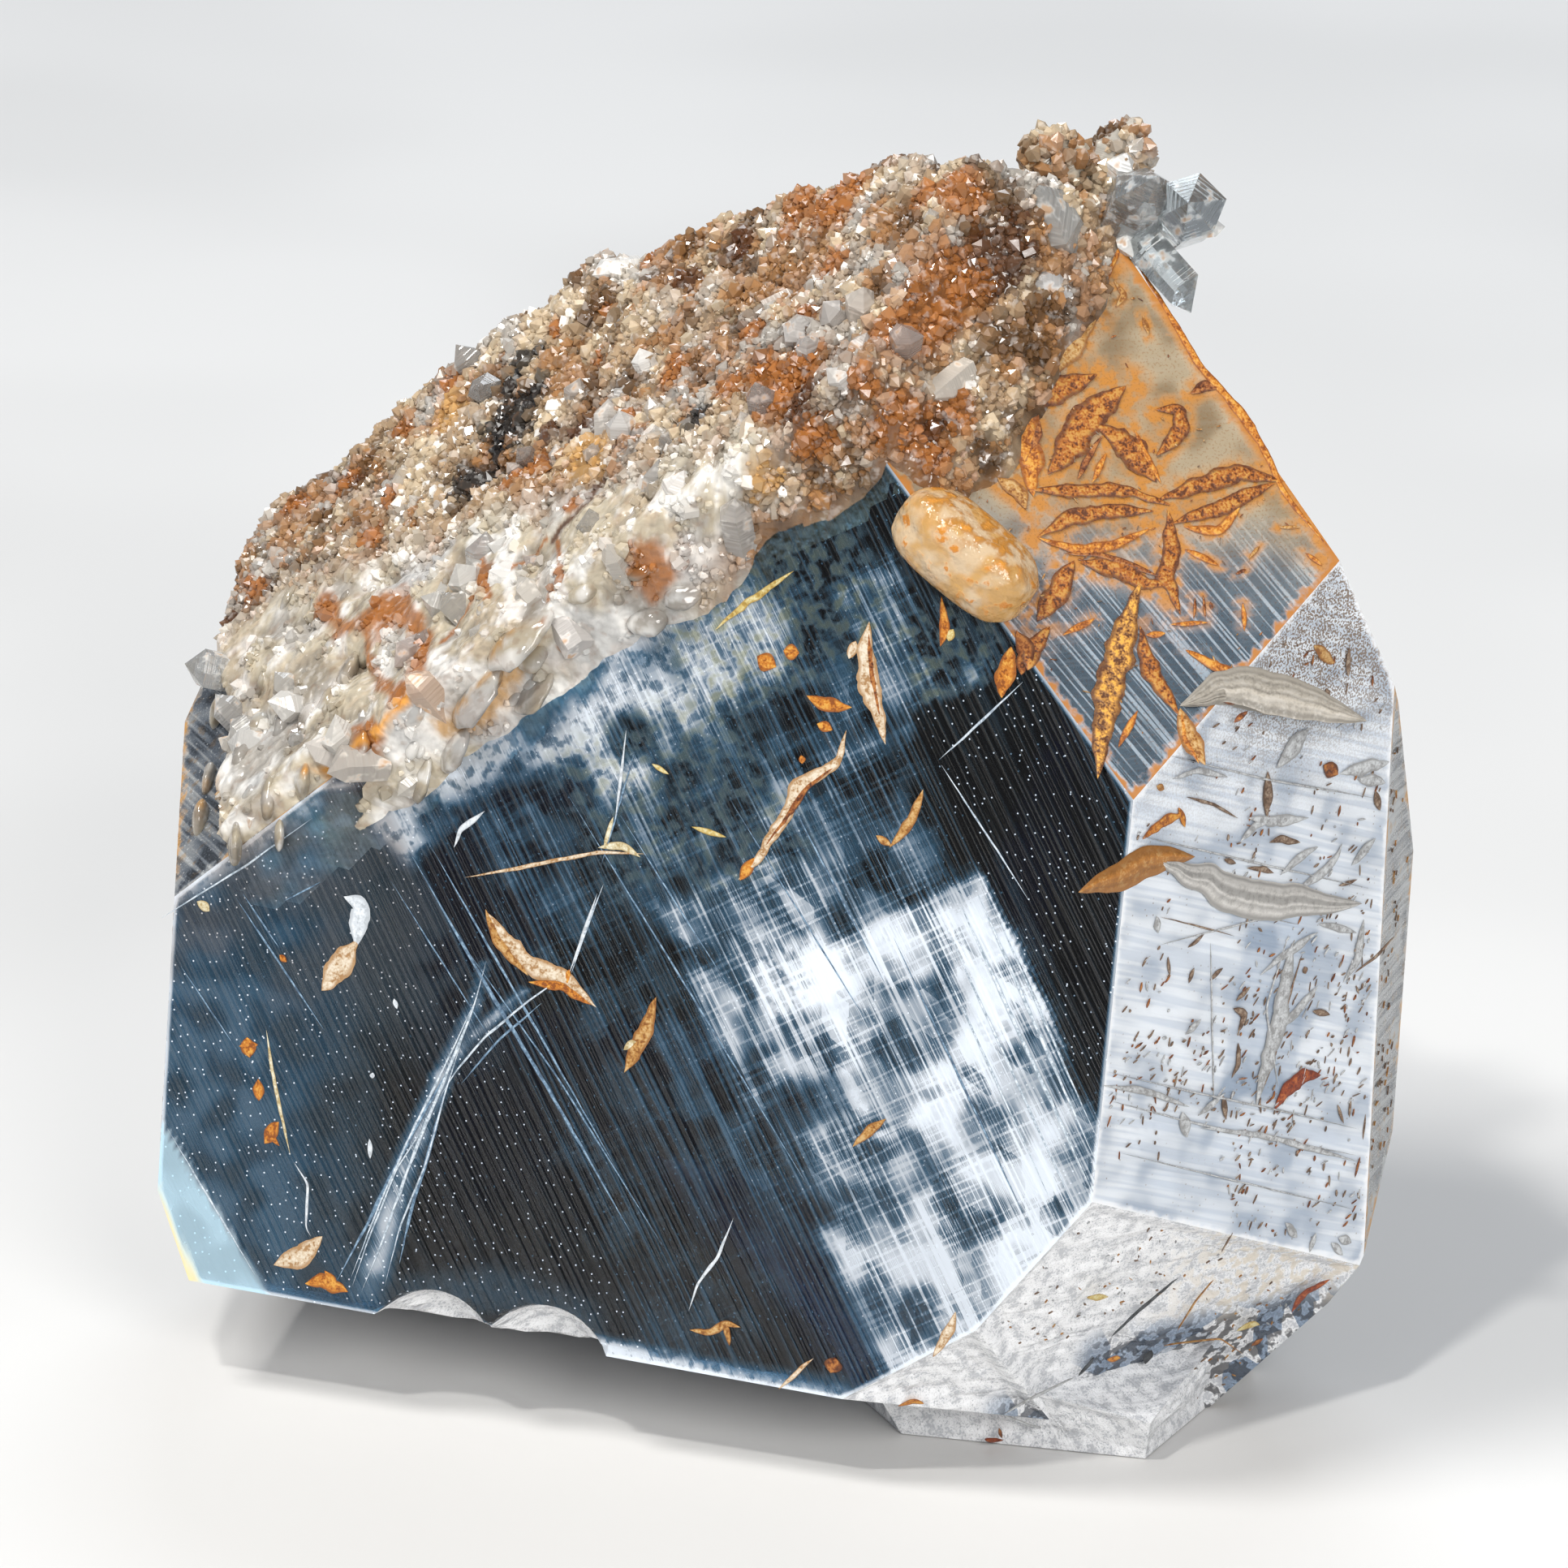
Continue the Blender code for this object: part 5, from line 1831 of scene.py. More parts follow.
@dataclass
class FaceMarks:
    """Stains and inclusions that lie on a crystal's faces, each a thin closed flake."""

    crystal: FacetedCrystal
    material: bpy.types.Material
    station: float = 0.12
    sunk: float = 0.09
    standing_height: float = 0.1

    def flake(self, face: PlaneFace, mark: Mark, seed: int) -> Surface:
        """One mark.

        A line is sampled evenly by its length. The half-width follows sin(pi t)^0.85 from end to end
        and is made ragged, on each side by itself, with noise. The flake's section is a
        low arch over the face with a keel under it, and both ends close to a point. A mark that
        stands high has smooth sides and stripes along it.

        Args:
            face: the face that it lies on.
            mark: the mark.
            seed: seed of its ragged edge.

        Returns:
            The flake.
        """
        path = np.array(mark.line)
        so_far = np.concatenate([[0.0], np.cumsum(np.linalg.norm(np.diff(path, axis=0), axis=1))])
        count = int(np.clip(so_far[-1] / self.station, 7, 70))
        t = np.linspace(0.0, 1.0, count)
        line = np.stack([np.interp(t * so_far[-1], so_far, path[:, axis]) for axis in (0, 1)], axis=1)
        for _ in range(max(1, count // 9)):
            line[1:-1] = (line[:-2] + 2.0 * line[1:-1] + line[2:]) / 4.0
        tangent = unit_rows(np.gradient(line, axis=0))
        side = np.stack([-tangent[:, 1], tangent[:, 0]], axis=1)
        arch = np.sin(np.pi * t) ** 0.85
        high = mark.tone.value[3]
        stands = high > self.standing_height
        cell, least, change = (3.0, 0.75, 0.5) if stands else (0.7, 0.45, 1.2)
        where = np.concatenate([line, np.full((count, 1), seed * 3.7)], axis=1)
        left = least + change * rough_noise(where, cell, seed)
        right = least + change * rough_noise(where, cell, seed + 50)
        wobble = (lattice_noise(where, 0.8, seed + 90) - 0.5) * 0.5
        middle = line + side * (wobble * mark.half_width * arch)[:, None]
        offsets = np.append(np.linspace(1.0, -1.0, 15 if stands else 5), 0.0)
        corners = len(offsets)
        ribs = np.random.default_rng(seed + 7).uniform(0.55, 1.15, corners) if stands else np.ones(corners)
        heights = (1.0 - 0.9 * offsets**2) * high * (0.4 + 0.6 * ribs)
        heights[-1] = -self.sunk
        width = np.where(offsets[None, :] > 0.0, left[:, None], right[:, None])
        width = width * (mark.half_width * arch)[:, None]
        places = middle[:, None, :] + side[:, None, :] * (offsets * width)[..., None]
        rise = np.broadcast_to(heights, (count, corners)) * np.minimum(1.0, 3.0 * arch)[:, None]
        distance = float(face.corners[0] @ face.normal)
        points = face.point(places.reshape(-1, 2), rise.reshape(-1), distance)
        quads = ring_cells(count - 1, corners)[:, [0, 3, 2, 1]]
        pale, middle_tone, deep, _ = mark.tone.value
        total = len(points)
        stripe = np.tile(ribs, count)[:, None]
        values = {
            "pale_tone": np.tile(pale, (total, 1)) * (0.9 * stripe if stands else 1.0),
            "middle": np.tile(middle_tone, (total, 1)) * stripe,
            "deep": np.tile(middle_tone, (total, 1)) * 0.8 * stripe if stands else np.tile(deep, (total, 1)),
            "edge": np.tile(np.abs(offsets), count),
        }
        return Surface.of_cells(points, quads, values)

    def needles(self, face: PlaneFace, group: Needles) -> list[Mark]:
        """Random needle marks inside a face.

        Places are drawn evenly over the face's box and kept where they are inside it, more often
        the lower they lie, as the group's lower value says.

        Args:
            face: the face.
            group: how many, and their sizes.

        Returns:
            The marks.
        """
        rng = np.random.default_rng(group.seed)
        corners = np.stack([face.corners @ face.across, face.corners @ face.upward], axis=1)
        low, high = corners.min(axis=0), corners.max(axis=0)
        places = rng.uniform(low, high, (group.count * 6, 2))
        distance = float(face.corners[0] @ face.normal)
        inside = face.edge_distance(face.point(places, np.zeros(len(places)), distance)) > 0.5
        height = (places[:, 1] - low[1]) / (high[1] - low[1])
        clump = rough_noise(np.concatenate([places, np.zeros((len(places), 1))], axis=1), 3.0, group.seed)
        share = (1.0 - group.lower * smooth(0.15, 0.85, height)) * smooth(0.30, 0.62, clump)
        wanted = rng.random(len(places)) < share
        places = places[inside & wanted][: group.count]
        count = len(places)
        angle = np.radians(rng.normal(group.turn, group.spread, count))
        length = rng.uniform(*group.length, count) * (0.6 + 0.4 * rng.random(count))
        half = np.stack([np.cos(angle), np.sin(angle)], axis=1) * length[:, None] / 2.0
        widths = rng.uniform(*group.half_width, count)
        tones = rng.integers(0, len(group.tones), count)
        return [
            Mark(group.tones[tone], float(width), (tuple(place - part), tuple(place + part)))
            for tone, width, place, part in zip(tones, widths, places, half)
        ]

    def build(
        self, name: str, marks: dict[str, tuple[Mark, ...]], groups: tuple[Needles, ...]
    ) -> bpy.types.Object:
        """Makes one piece of all these marks.

        Args:
            name: the piece's name.
            marks: marks by the name of the face that they lie on.
            groups: strewn needles.

        Returns:
            The object.
        """
        faces = self.crystal.plane_faces()
        flakes = []
        for face_name, face_marks in marks.items():
            flakes += [self.flake(faces[face_name], mark, index) for index, mark in enumerate(face_marks)]
        for group in groups:
            strewn = self.needles(faces[group.face], group)
            flakes += [self.flake(faces[group.face], mark, index) for index, mark in enumerate(strewn)]
        return Piece(name, Slot.STAIN, self.material, 60.0, True).make(Surface.joined(flakes))


@dataclass
class DruseColour:
    """The druse's colour at any place: sugary tan above, glassy white below, with iron stains."""

    stains: tuple[RustLine, ...] = DRUSE_STAINS
    veins: tuple[RustLine, ...] = DRUSE_VEINS
    tan: Colour = (0.40, 0.28, 0.17)
    grey: Colour = (0.44, 0.41, 0.37)
    cream: Colour = (0.56, 0.45, 0.31)
    # Milky white of the glassy part, which also whitens single grains as a painted sparkle.
    white: Colour = (0.80, 0.78, 0.74)
    glass: Colour = (0.52, 0.52, 0.51)
    sallow_glass: Colour = (0.50, 0.43, 0.31)
    film: Colour = (0.30, 0.13, 0.035)
    # Painted shade: dark brown laid into the hollows between the sugary lumps.
    hollow_shade: Colour = (0.09, 0.045, 0.018)
    # Painted shade: grey laid into the hollows of the glassy part.
    gap: Colour = (0.24, 0.21, 0.17)
    seed: int = 61

    @staticmethod
    def glassy(points: np.ndarray) -> np.ndarray:
        """How glassy the druse is, from 0 to 1: it is so near the front face, more to the left.

        The distance along the front face's direction is set against a line that rises by 0.52 for
        each mm to the right, and the change is spread over 3 mm by noise.
        """
        near_front = points @ direction(*CRYSTAL_FACES["front"][:2])
        limit = -2.0 + 0.52 * (points[:, 0] + 27.0)
        ragged = 3.0 * (rough_noise(points, 2.6, 23) - 0.5)
        return smooth(-1.5, 1.5, near_front - limit + ragged) * (1.0 - smooth(3.0, 6.0, points[:, 0]))

    @staticmethod
    def hollows(points: np.ndarray) -> np.ndarray:
        """How deep between the lumps a place lies, from the noise that shapes the crust."""
        ways = unit_rows(points)
        base = ways * reach(ways, CRUST_FACES)[:, None]
        return smooth(0.50, 0.32, rough_noise(base, 1.5, 71))

    def at(self, points: np.ndarray, scatter: np.ndarray, shade: float = 1.0) -> np.ndarray:
        """Colours at points.

        Noises of different sizes blend tan, grey, cream and white, single grains are whitened as a
        painted sparkle, and the hollows between the lumps are darkened with painted shade. Each stain
        covers its ball out to about its radius, and each vein its line, with an edge moved in and out by
        noise and by the scatter. Both are measured on the crust's planes, under the lumps.

        Args:
            points: places in mm.
            scatter: a random value from 0 to 1 for each point, which varies single grains.
            shade: darkens everything.

        Returns:
            (n, 3) colours.
        """

        def noise(cell: float, step: int) -> np.ndarray:
            """A rough noise at the points, with this step added to the seed."""
            return rough_noise(points, cell, self.seed + step)

        colour = np.tile(self.tan, (len(points), 1))
        glassy = self.glassy(points)
        dry = 1.0 - 0.80 * glassy
        layers = (
            (self.grey, smooth(0.44, 0.62, noise(4.0, 0))),
            (self.cream, smooth(0.50, 0.66, noise(1.4, 5))),
            (self.glass, glassy * 0.94),
            (self.sallow_glass, glassy * smooth(0.40, 0.54, noise(4.5, 17)) * 0.9),
            # Painted sparkle: grains that the scatter picks out are whitened; in the glassy part the white is
            # the quartz's milky colour.
            (self.white, np.maximum(smooth(0.84, 0.99, scatter), glassy * smooth(0.50, 0.64, noise(1.2, 3)))),
            (self.film, smooth(0.49, 0.62, noise(1.8, 9) + 0.16 * (scatter - 0.5)) * 0.80 * dry),
            # Painted shade: the hollows between the lumps are darkened, brown on the sugary part and grey on
            # the glassy part.
            (self.hollow_shade, self.hollows(points) * 0.85 * dry),
            (self.gap, self.hollows(points) * 0.65 * glassy),
        )
        for tone, share in layers:
            colour = colour + (np.array(tone) - colour) * share[:, None]
        ragged = noise(0.9, 13)
        ways = unit_rows(points)
        based = ways * reach(ways, CRUST_FACES)[:, None]
        for rust, radius, (place,) in self.stains:
            far = np.linalg.norm(based - np.array(place), axis=1) / (radius * 1.15)
            cover = 1.0 - smooth(0.70, 1.30, far + 0.9 * (ragged - 0.5) + 0.45 * (scatter - 0.5))
            colour = colour + (np.array(rust.value) - colour) * (cover * 0.94)[:, None]
        for rust, radius, line in self.veins:
            far = away_from(based, line) / radius
            cover = 1.0 - smooth(0.6, 1.5, far + 1.5 * (ragged - 0.5) + 0.5 * (scatter - 0.5))
            colour = colour + (np.array(rust.value) - colour) * (cover * 0.90)[:, None]
        return colour * (0.80 + 0.40 * scatter)[:, None] * shade


@dataclass
class Druse:
    """The crust over the upper left side, and the sugary grains and small crystals that stand on it."""

    rows: int = 190
    columns: int = 330
    facing: tuple[float, float] = (-66.6, 44.3)
    spread: float = 100.0
    under_face: float = 0.5
    clean_edge: tuple[float, float] = (-21.0, -16.0)
    clean_depth: float = 0.15
    free_rise: float = 6.0
    seed: int = 41
    lumps: int = 260
    lump_radius: tuple[float, float] = (1.5, 3.4)
    lump_height: tuple[float, float] = (0.35, 1.15)
    shows: float = 0.1
    points: int = 120
    point_radius: tuple[float, float] = (0.45, 1.25)
    point_slenderness: tuple[float, float] = (1.1, 1.7)
    point_lean: float = 0.5
    grains_a_piece: int = 8800
    grain_radius: tuple[float, float, float] = (0.17, 0.36, 0.42)
    small_domes: int = 40
    dome_cells: tuple[int, int] = (15, 22)
    visible_size: float = 0.72
    colour: DruseColour = field(default_factory=DruseColour)

    def axes(self) -> tuple[np.ndarray, np.ndarray, np.ndarray]:
        """The way that the druse faces, and two directions square to it."""
        axis = Vector(direction(*self.facing))
        side = axis.orthogonal().normalized()
        return np.array(axis), np.array(side), np.array(axis.cross(side))

    def scattered(self, rng: np.random.Generator, count: int) -> np.ndarray:
        """Directions spread evenly over the cap where the crust shows, the same as the solid's.

        A height on the axis is drawn evenly and a turn round it evenly, which covers a cap evenly.
        """
        axis, side, other = self.axes()
        found: list[np.ndarray] = []
        while len(found) < count:
            height = 1 - rng.random() * (1 - math.cos(math.radians(self.spread)))
            turn = rng.random() * 2 * math.pi
            out = math.sqrt(1 - height * height)
            way = axis * height + (side * math.cos(turn) + other * math.sin(turn)) * out
            if reach(way[None], CRUST_FACES)[0] > reach(way[None], CRYSTAL_FACES)[0] + self.shows:
                found.append(way)
        return np.array(found)

    def lump_rise(self, points: np.ndarray) -> np.ndarray:
        """Rounded lumps: at each point the tallest of the domes top * sqrt(1 - (distance / radius)^2)."""
        rng = np.random.default_rng(self.seed)
        ways = self.scattered(rng, self.lumps)
        centres = ways * reach(ways, CRUST_FACES)[:, None]
        radii = rng.uniform(*self.lump_radius, self.lumps)
        tops = rng.uniform(*self.lump_height, self.lumps)
        rise = np.zeros(len(points))
        for centre, radius, top in zip(centres, radii, tops):
            far = np.linalg.norm(points - centre, axis=1) / radius
            rise = np.maximum(rise, top * np.sqrt(np.maximum(0.0, 1 - far * far)))
        return rise

    def sheet(self) -> tuple[np.ndarray, np.ndarray, np.ndarray]:
        """The crust's outer and inner sheet over the cap.

        A row is a ring at one angle from the druse's facing, and a column a turn round it. The outer
        sheet is the crust's planes with lumps and two finer noises, held under the front face along
        that face's clean edge, and the inner one runs just under the crystal's faces. Where the
        outer sheet would dip under the inner one they meet.

        Returns:
            Outer points, inner points and the thickness between them, each with rows x columns.
        """
        axis, side, other = self.axes()
        tilt = np.radians(self.spread) * (np.arange(self.rows) / (self.rows - 1))
        turn = 2 * np.pi * np.arange(self.columns) / self.columns
        ring = np.cos(turn)[:, None] * side + np.sin(turn)[:, None] * other
        ways = np.cos(tilt)[:, None, None] * axis + np.sin(tilt)[:, None, None] * ring[None]
        ways = ways.reshape(-1, 3)
        planes = reach(ways, CRUST_FACES)
        base = ways * planes[:, None]
        rise = self.lump_rise(base)
        rise = rise + 0.75 * (rough_noise(base, 1.5, 71) - 0.45)
        rise = rise + 0.30 * (lattice_noise(base, 0.5, 75) - 0.5) * (1.0 - 0.8 * self.colour.glassy(base))
        start, end = self.clean_edge
        front = reach(ways, {"front": CRYSTAL_FACES["front"]}) - self.clean_depth
        free = np.clip((base[:, 0] - start) / (end - start), 0.0, 1.0) * self.free_rise
        top = np.minimum(planes + rise, front + free)
        inner = reach(ways, CRYSTAL_FACES) - self.under_face
        thick = top - inner
        outer = np.where(thick > 0.0, top, inner)
        return ways * outer[:, None], ways * inner[:, None], thick

    def crust(self, material: bpy.types.Material) -> tuple[bpy.types.Object, Surface]:
        """Makes the crust's object.

        Args:
            material: the druse's crust finish.

        Returns:
            The object, and the outer sheet where it shows, for grains to stand on.
        """
        outer, inner, thick = self.sheet()
        cells = ring_cells(self.rows - 1, self.columns)
        kept = cells[(thick[cells] > 0.0).any(axis=1)]
        count = len(outer)
        quads = np.concatenate([kept, kept[:, ::-1] + count])
        points = np.concatenate([outer, inner])
        scatter = lattice_noise(points, 0.35, 81)
        shade = 0.62 + 0.38 * self.colour.glassy(points)
        surface = Surface.of_cells(points, quads, {"tint": self.colour.at(points, scatter) * shade[:, None]})
        shown = kept[(thick[kept] > self.under_face + 0.05).all(axis=1)]
        piece = Piece("druse_crust", Slot.DRUSE, material, 50.0, True).make(surface)
        return piece, Surface.of_cells(outer, shown, {})

    def grains(self, ground: Surface, index: int, material: bpy.types.Material) -> bpy.types.Object:
        """Makes one piece of thousands of tiny crystals.

        Cells of the crust are drawn by their area, and a place in the cell by two even shares of its
        sides. Fewer stay where the druse is smooth. A grain leans at random off the crust's own
        direction there, and its radius is log-normal.

        Args:
            ground: the crust's shown sheet.
            index: number of the piece, which also seeds it.
            material: the grains' finish.

        Returns:
            The object.
        """
        rng = np.random.default_rng(200 + index)
        a, b, c, d = (ground.points[ground.quads[:, corner]] for corner in range(4))
        normal = np.cross(c - a, d - b)
        area = np.linalg.norm(normal, axis=1)
        normal = unit_rows(normal)
        normal *= np.sign(np.einsum("nc,nc->n", normal, a))[:, None]
        wanted = int(self.grains_a_piece * 1.5)
        cell = rng.choice(len(area), wanted, p=area / area.sum())
        s, t = rng.random((2, wanted, 1))
        place = (a[cell] * (1 - s) + b[cell] * s) * (1 - t) + (d[cell] * (1 - s) + c[cell] * s) * t
        bare = self.colour.glassy(place) * smooth(0.76, 0.56, rough_noise(place, 1.2, 5))
        for dome in DOMES:
            far = np.linalg.norm(place - np.array(dome.place), axis=1) / dome.radius
            bare = np.maximum(bare, 1.0 - smooth(0.75, 1.0, far))
        kept = np.flatnonzero(rng.random(wanted) > bare * 0.97)[: self.grains_a_piece]
        place, way = place[kept], normal[cell[kept]]
        count = len(place)
        way = unit_rows(way + 0.55 * rng.normal(size=(count, 3)))
        middle, spread, most = self.grain_radius
        radius = np.clip(middle * np.exp(rng.normal(0.0, spread, count)), 0.08, most)
        scatter = rng.random(count)
        length = radius * rng.uniform(0.5, 1.1, count)
        foot = place - way * radius[:, None] * 0.3
        batch = CrystalBatch(foot, way, radius, length, rng.random(count) * 2.0)
        surface = batch.surface(rng, self.colour.at(place, scatter), np.zeros(count))
        return Piece(f"druse_grains_{index}", Slot.DRUSE, material).make(surface)

    def domes(self, material: bpy.types.Material) -> bpy.types.Object:
        """Makes the smooth glassy lumps: the named ones, and random smaller ones in the glassy zone.

        Each is a ball in latitude and longitude, lowered to its height along the direction from the
        middle, with its radius changed by up to a fifth by two noises.

        Args:
            material: the glassy lumps' finish.

        Returns:
            The object.
        """
        rng = np.random.default_rng(77)
        ways = self.scattered(rng, self.small_domes * 5)
        places = ways * reach(ways, CRUST_FACES)[:, None]
        places = places[self.colour.glassy(places) > 0.6][: self.small_domes]
        places = places[(places[:, 0] > -20.0) | (places @ direction(*CRYSTAL_FACES["front"][:2]) < 9.6)]
        radii = rng.uniform(0.40, 1.05, len(places))
        small = [Dome(tuple(place), float(radius), 0.55) for place, radius in zip(places, radii)]
        rows, columns = self.dome_cells
        latitude = np.linspace(0.0, np.pi, rows)
        turn = 2 * np.pi * np.arange(columns) / columns
        ring = np.stack([np.cos(turn), np.sin(turn)], axis=1)
        height = np.broadcast_to(np.cos(latitude)[:, None, None], (rows, columns, 1))
        ball = np.concatenate([np.sin(latitude)[:, None, None] * ring, height], axis=2).reshape(-1, 3)
        quads = ring_cells(rows - 1, columns)
        lumps = []
        for dome in DOMES + tuple(small):
            centre = np.array(dome.place)
            way = unit_rows(centre[None])[0]
            shape = ball * dome.radius * (1.0, 1.0, dome.height)
            turned = shape @ np.array(Vector(way).to_track_quat("Z", "Y").to_matrix()).T
            swell = 0.62 + 0.60 * rough_noise(turned + centre, 1.0, 87)
            swell = swell + 0.18 * rough_noise(turned + centre, 0.4, 89)
            points = centre + turned * swell[:, None]
            scatter = 0.45 + 0.30 * lattice_noise(points, 0.6, 83)
            lumps.append(Surface.of_cells(points, quads, {"tint": self.colour.at(points, scatter)}))
        return Piece("druse_domes", Slot.DRUSE, material, 70.0, True).make(Surface.joined(lumps))

    def standing_points(self) -> "CrystalBatch":
        """The larger small crystals, in the same places as the solid's, made smaller by the visible size."""
        rng = np.random.default_rng(self.seed + 1)
        bases, ways, radii, lengths, rolls = [], [], [], [], []
        for way in self.scattered(rng, self.points):
            bases.append(way * reach(way[None], CRUST_FACES)[0])
            radii.append(rng.uniform(*self.point_radius) * self.visible_size)
            lengths.append(radii[-1] * rng.uniform(*self.point_slenderness))
            ways.append(way + rng.normal(0.0, self.point_lean, 3))
            rolls.append(rng.uniform(0, 1))
        leaning = unit_rows(np.array(ways))
        return CrystalBatch(np.array(bases), leaning, np.array(radii), np.array(lengths), np.array(rolls))


@dataclass
class CrystalBatch:
    """Many small six-sided crystals: where each stands, its way, radius, half length and roll."""

    bases: np.ndarray
    ways: np.ndarray
    radii: np.ndarray
    lengths: np.ndarray
    rolls: np.ndarray
    tip_height: float = 0.95

    def surface(self, rng: np.random.Generator, tints: np.ndarray, clouds: np.ndarray) -> Surface:
        """The crystals' surface.

        Each is a ring of six corners at minus its half length, one at plus its half length with its
        corners moved up and down at random, as quartz's uneven end faces leave them, and an apex
        off the axis. All are built in the crystal's own axes and turned together.

        Args:
            rng: for the uneven ends.
            tints: a colour for each crystal.
            clouds: how cloudy each is.

        Returns:
            The closed crystals.
        """
        count = len(self.bases)
        angle = np.arange(6) * np.pi / 3
        ring = np.stack([np.cos(angle), np.sin(angle)], axis=1)
        width = self.radii[:, None, None] * (1.0 + 0.12 * rng.normal(size=(count, 6, 1)))
        foot = np.broadcast_to(-self.lengths[:, None, None], (count, 6, 1))
        low = np.concatenate([width * ring, foot], axis=2)
        shoulder = self.lengths[:, None] + self.radii[:, None] * 0.22 * rng.uniform(-1.0, 0.5, (count, 6))
        top = np.concatenate([width * ring, shoulder[..., None]], axis=2)
        apex = np.zeros((count, 1, 3))
        apex[:, 0, :2] = self.radii[:, None] * 0.18 * rng.normal(size=(count, 2))
        apex[:, 0, 2] = self.lengths + self.radii * self.tip_height
        local = np.concatenate([low, top, apex], axis=1)
        turns = np.array([self._turn(way, roll) for way, roll in zip(self.ways, self.rolls)])
        points = np.einsum("nij,nkj->nki", turns, local) + self.bases[:, None, :]
        start = (np.arange(count) * 13)[:, None, None]
        side = np.arange(6)
        after = (side + 1) % 6
        walls = np.stack([side, after, after + 6, side + 6], axis=1)
        under = np.array(((3, 2, 1, 0), (5, 4, 3, 0)))
        quads = (start + np.concatenate([walls, under])[None]).reshape(-1, 4)
        caps = (start + np.stack([side + 6, after + 6, np.full(6, 12)], axis=1)[None]).reshape(-1, 3)
        values = {
            "tint": np.repeat(tints, 13, axis=0),
            "cloud": np.repeat(clouds, 13),
            "along": local[..., 2].reshape(-1) + np.repeat(np.arange(count) * 3.1 % 40.0, 13),
        }
        return Surface(points.reshape(-1, 3), quads, caps, values)

    @staticmethod
    def _turn(way: np.ndarray, roll: float) -> np.ndarray:
        """The rotation that points +Z along the way after a roll, as the solid's crystals have it."""
        turn = Vector(way).to_track_quat("Z", "Y") @ Quaternion((0, 0, 1), roll)
        return np.array(turn.to_matrix())


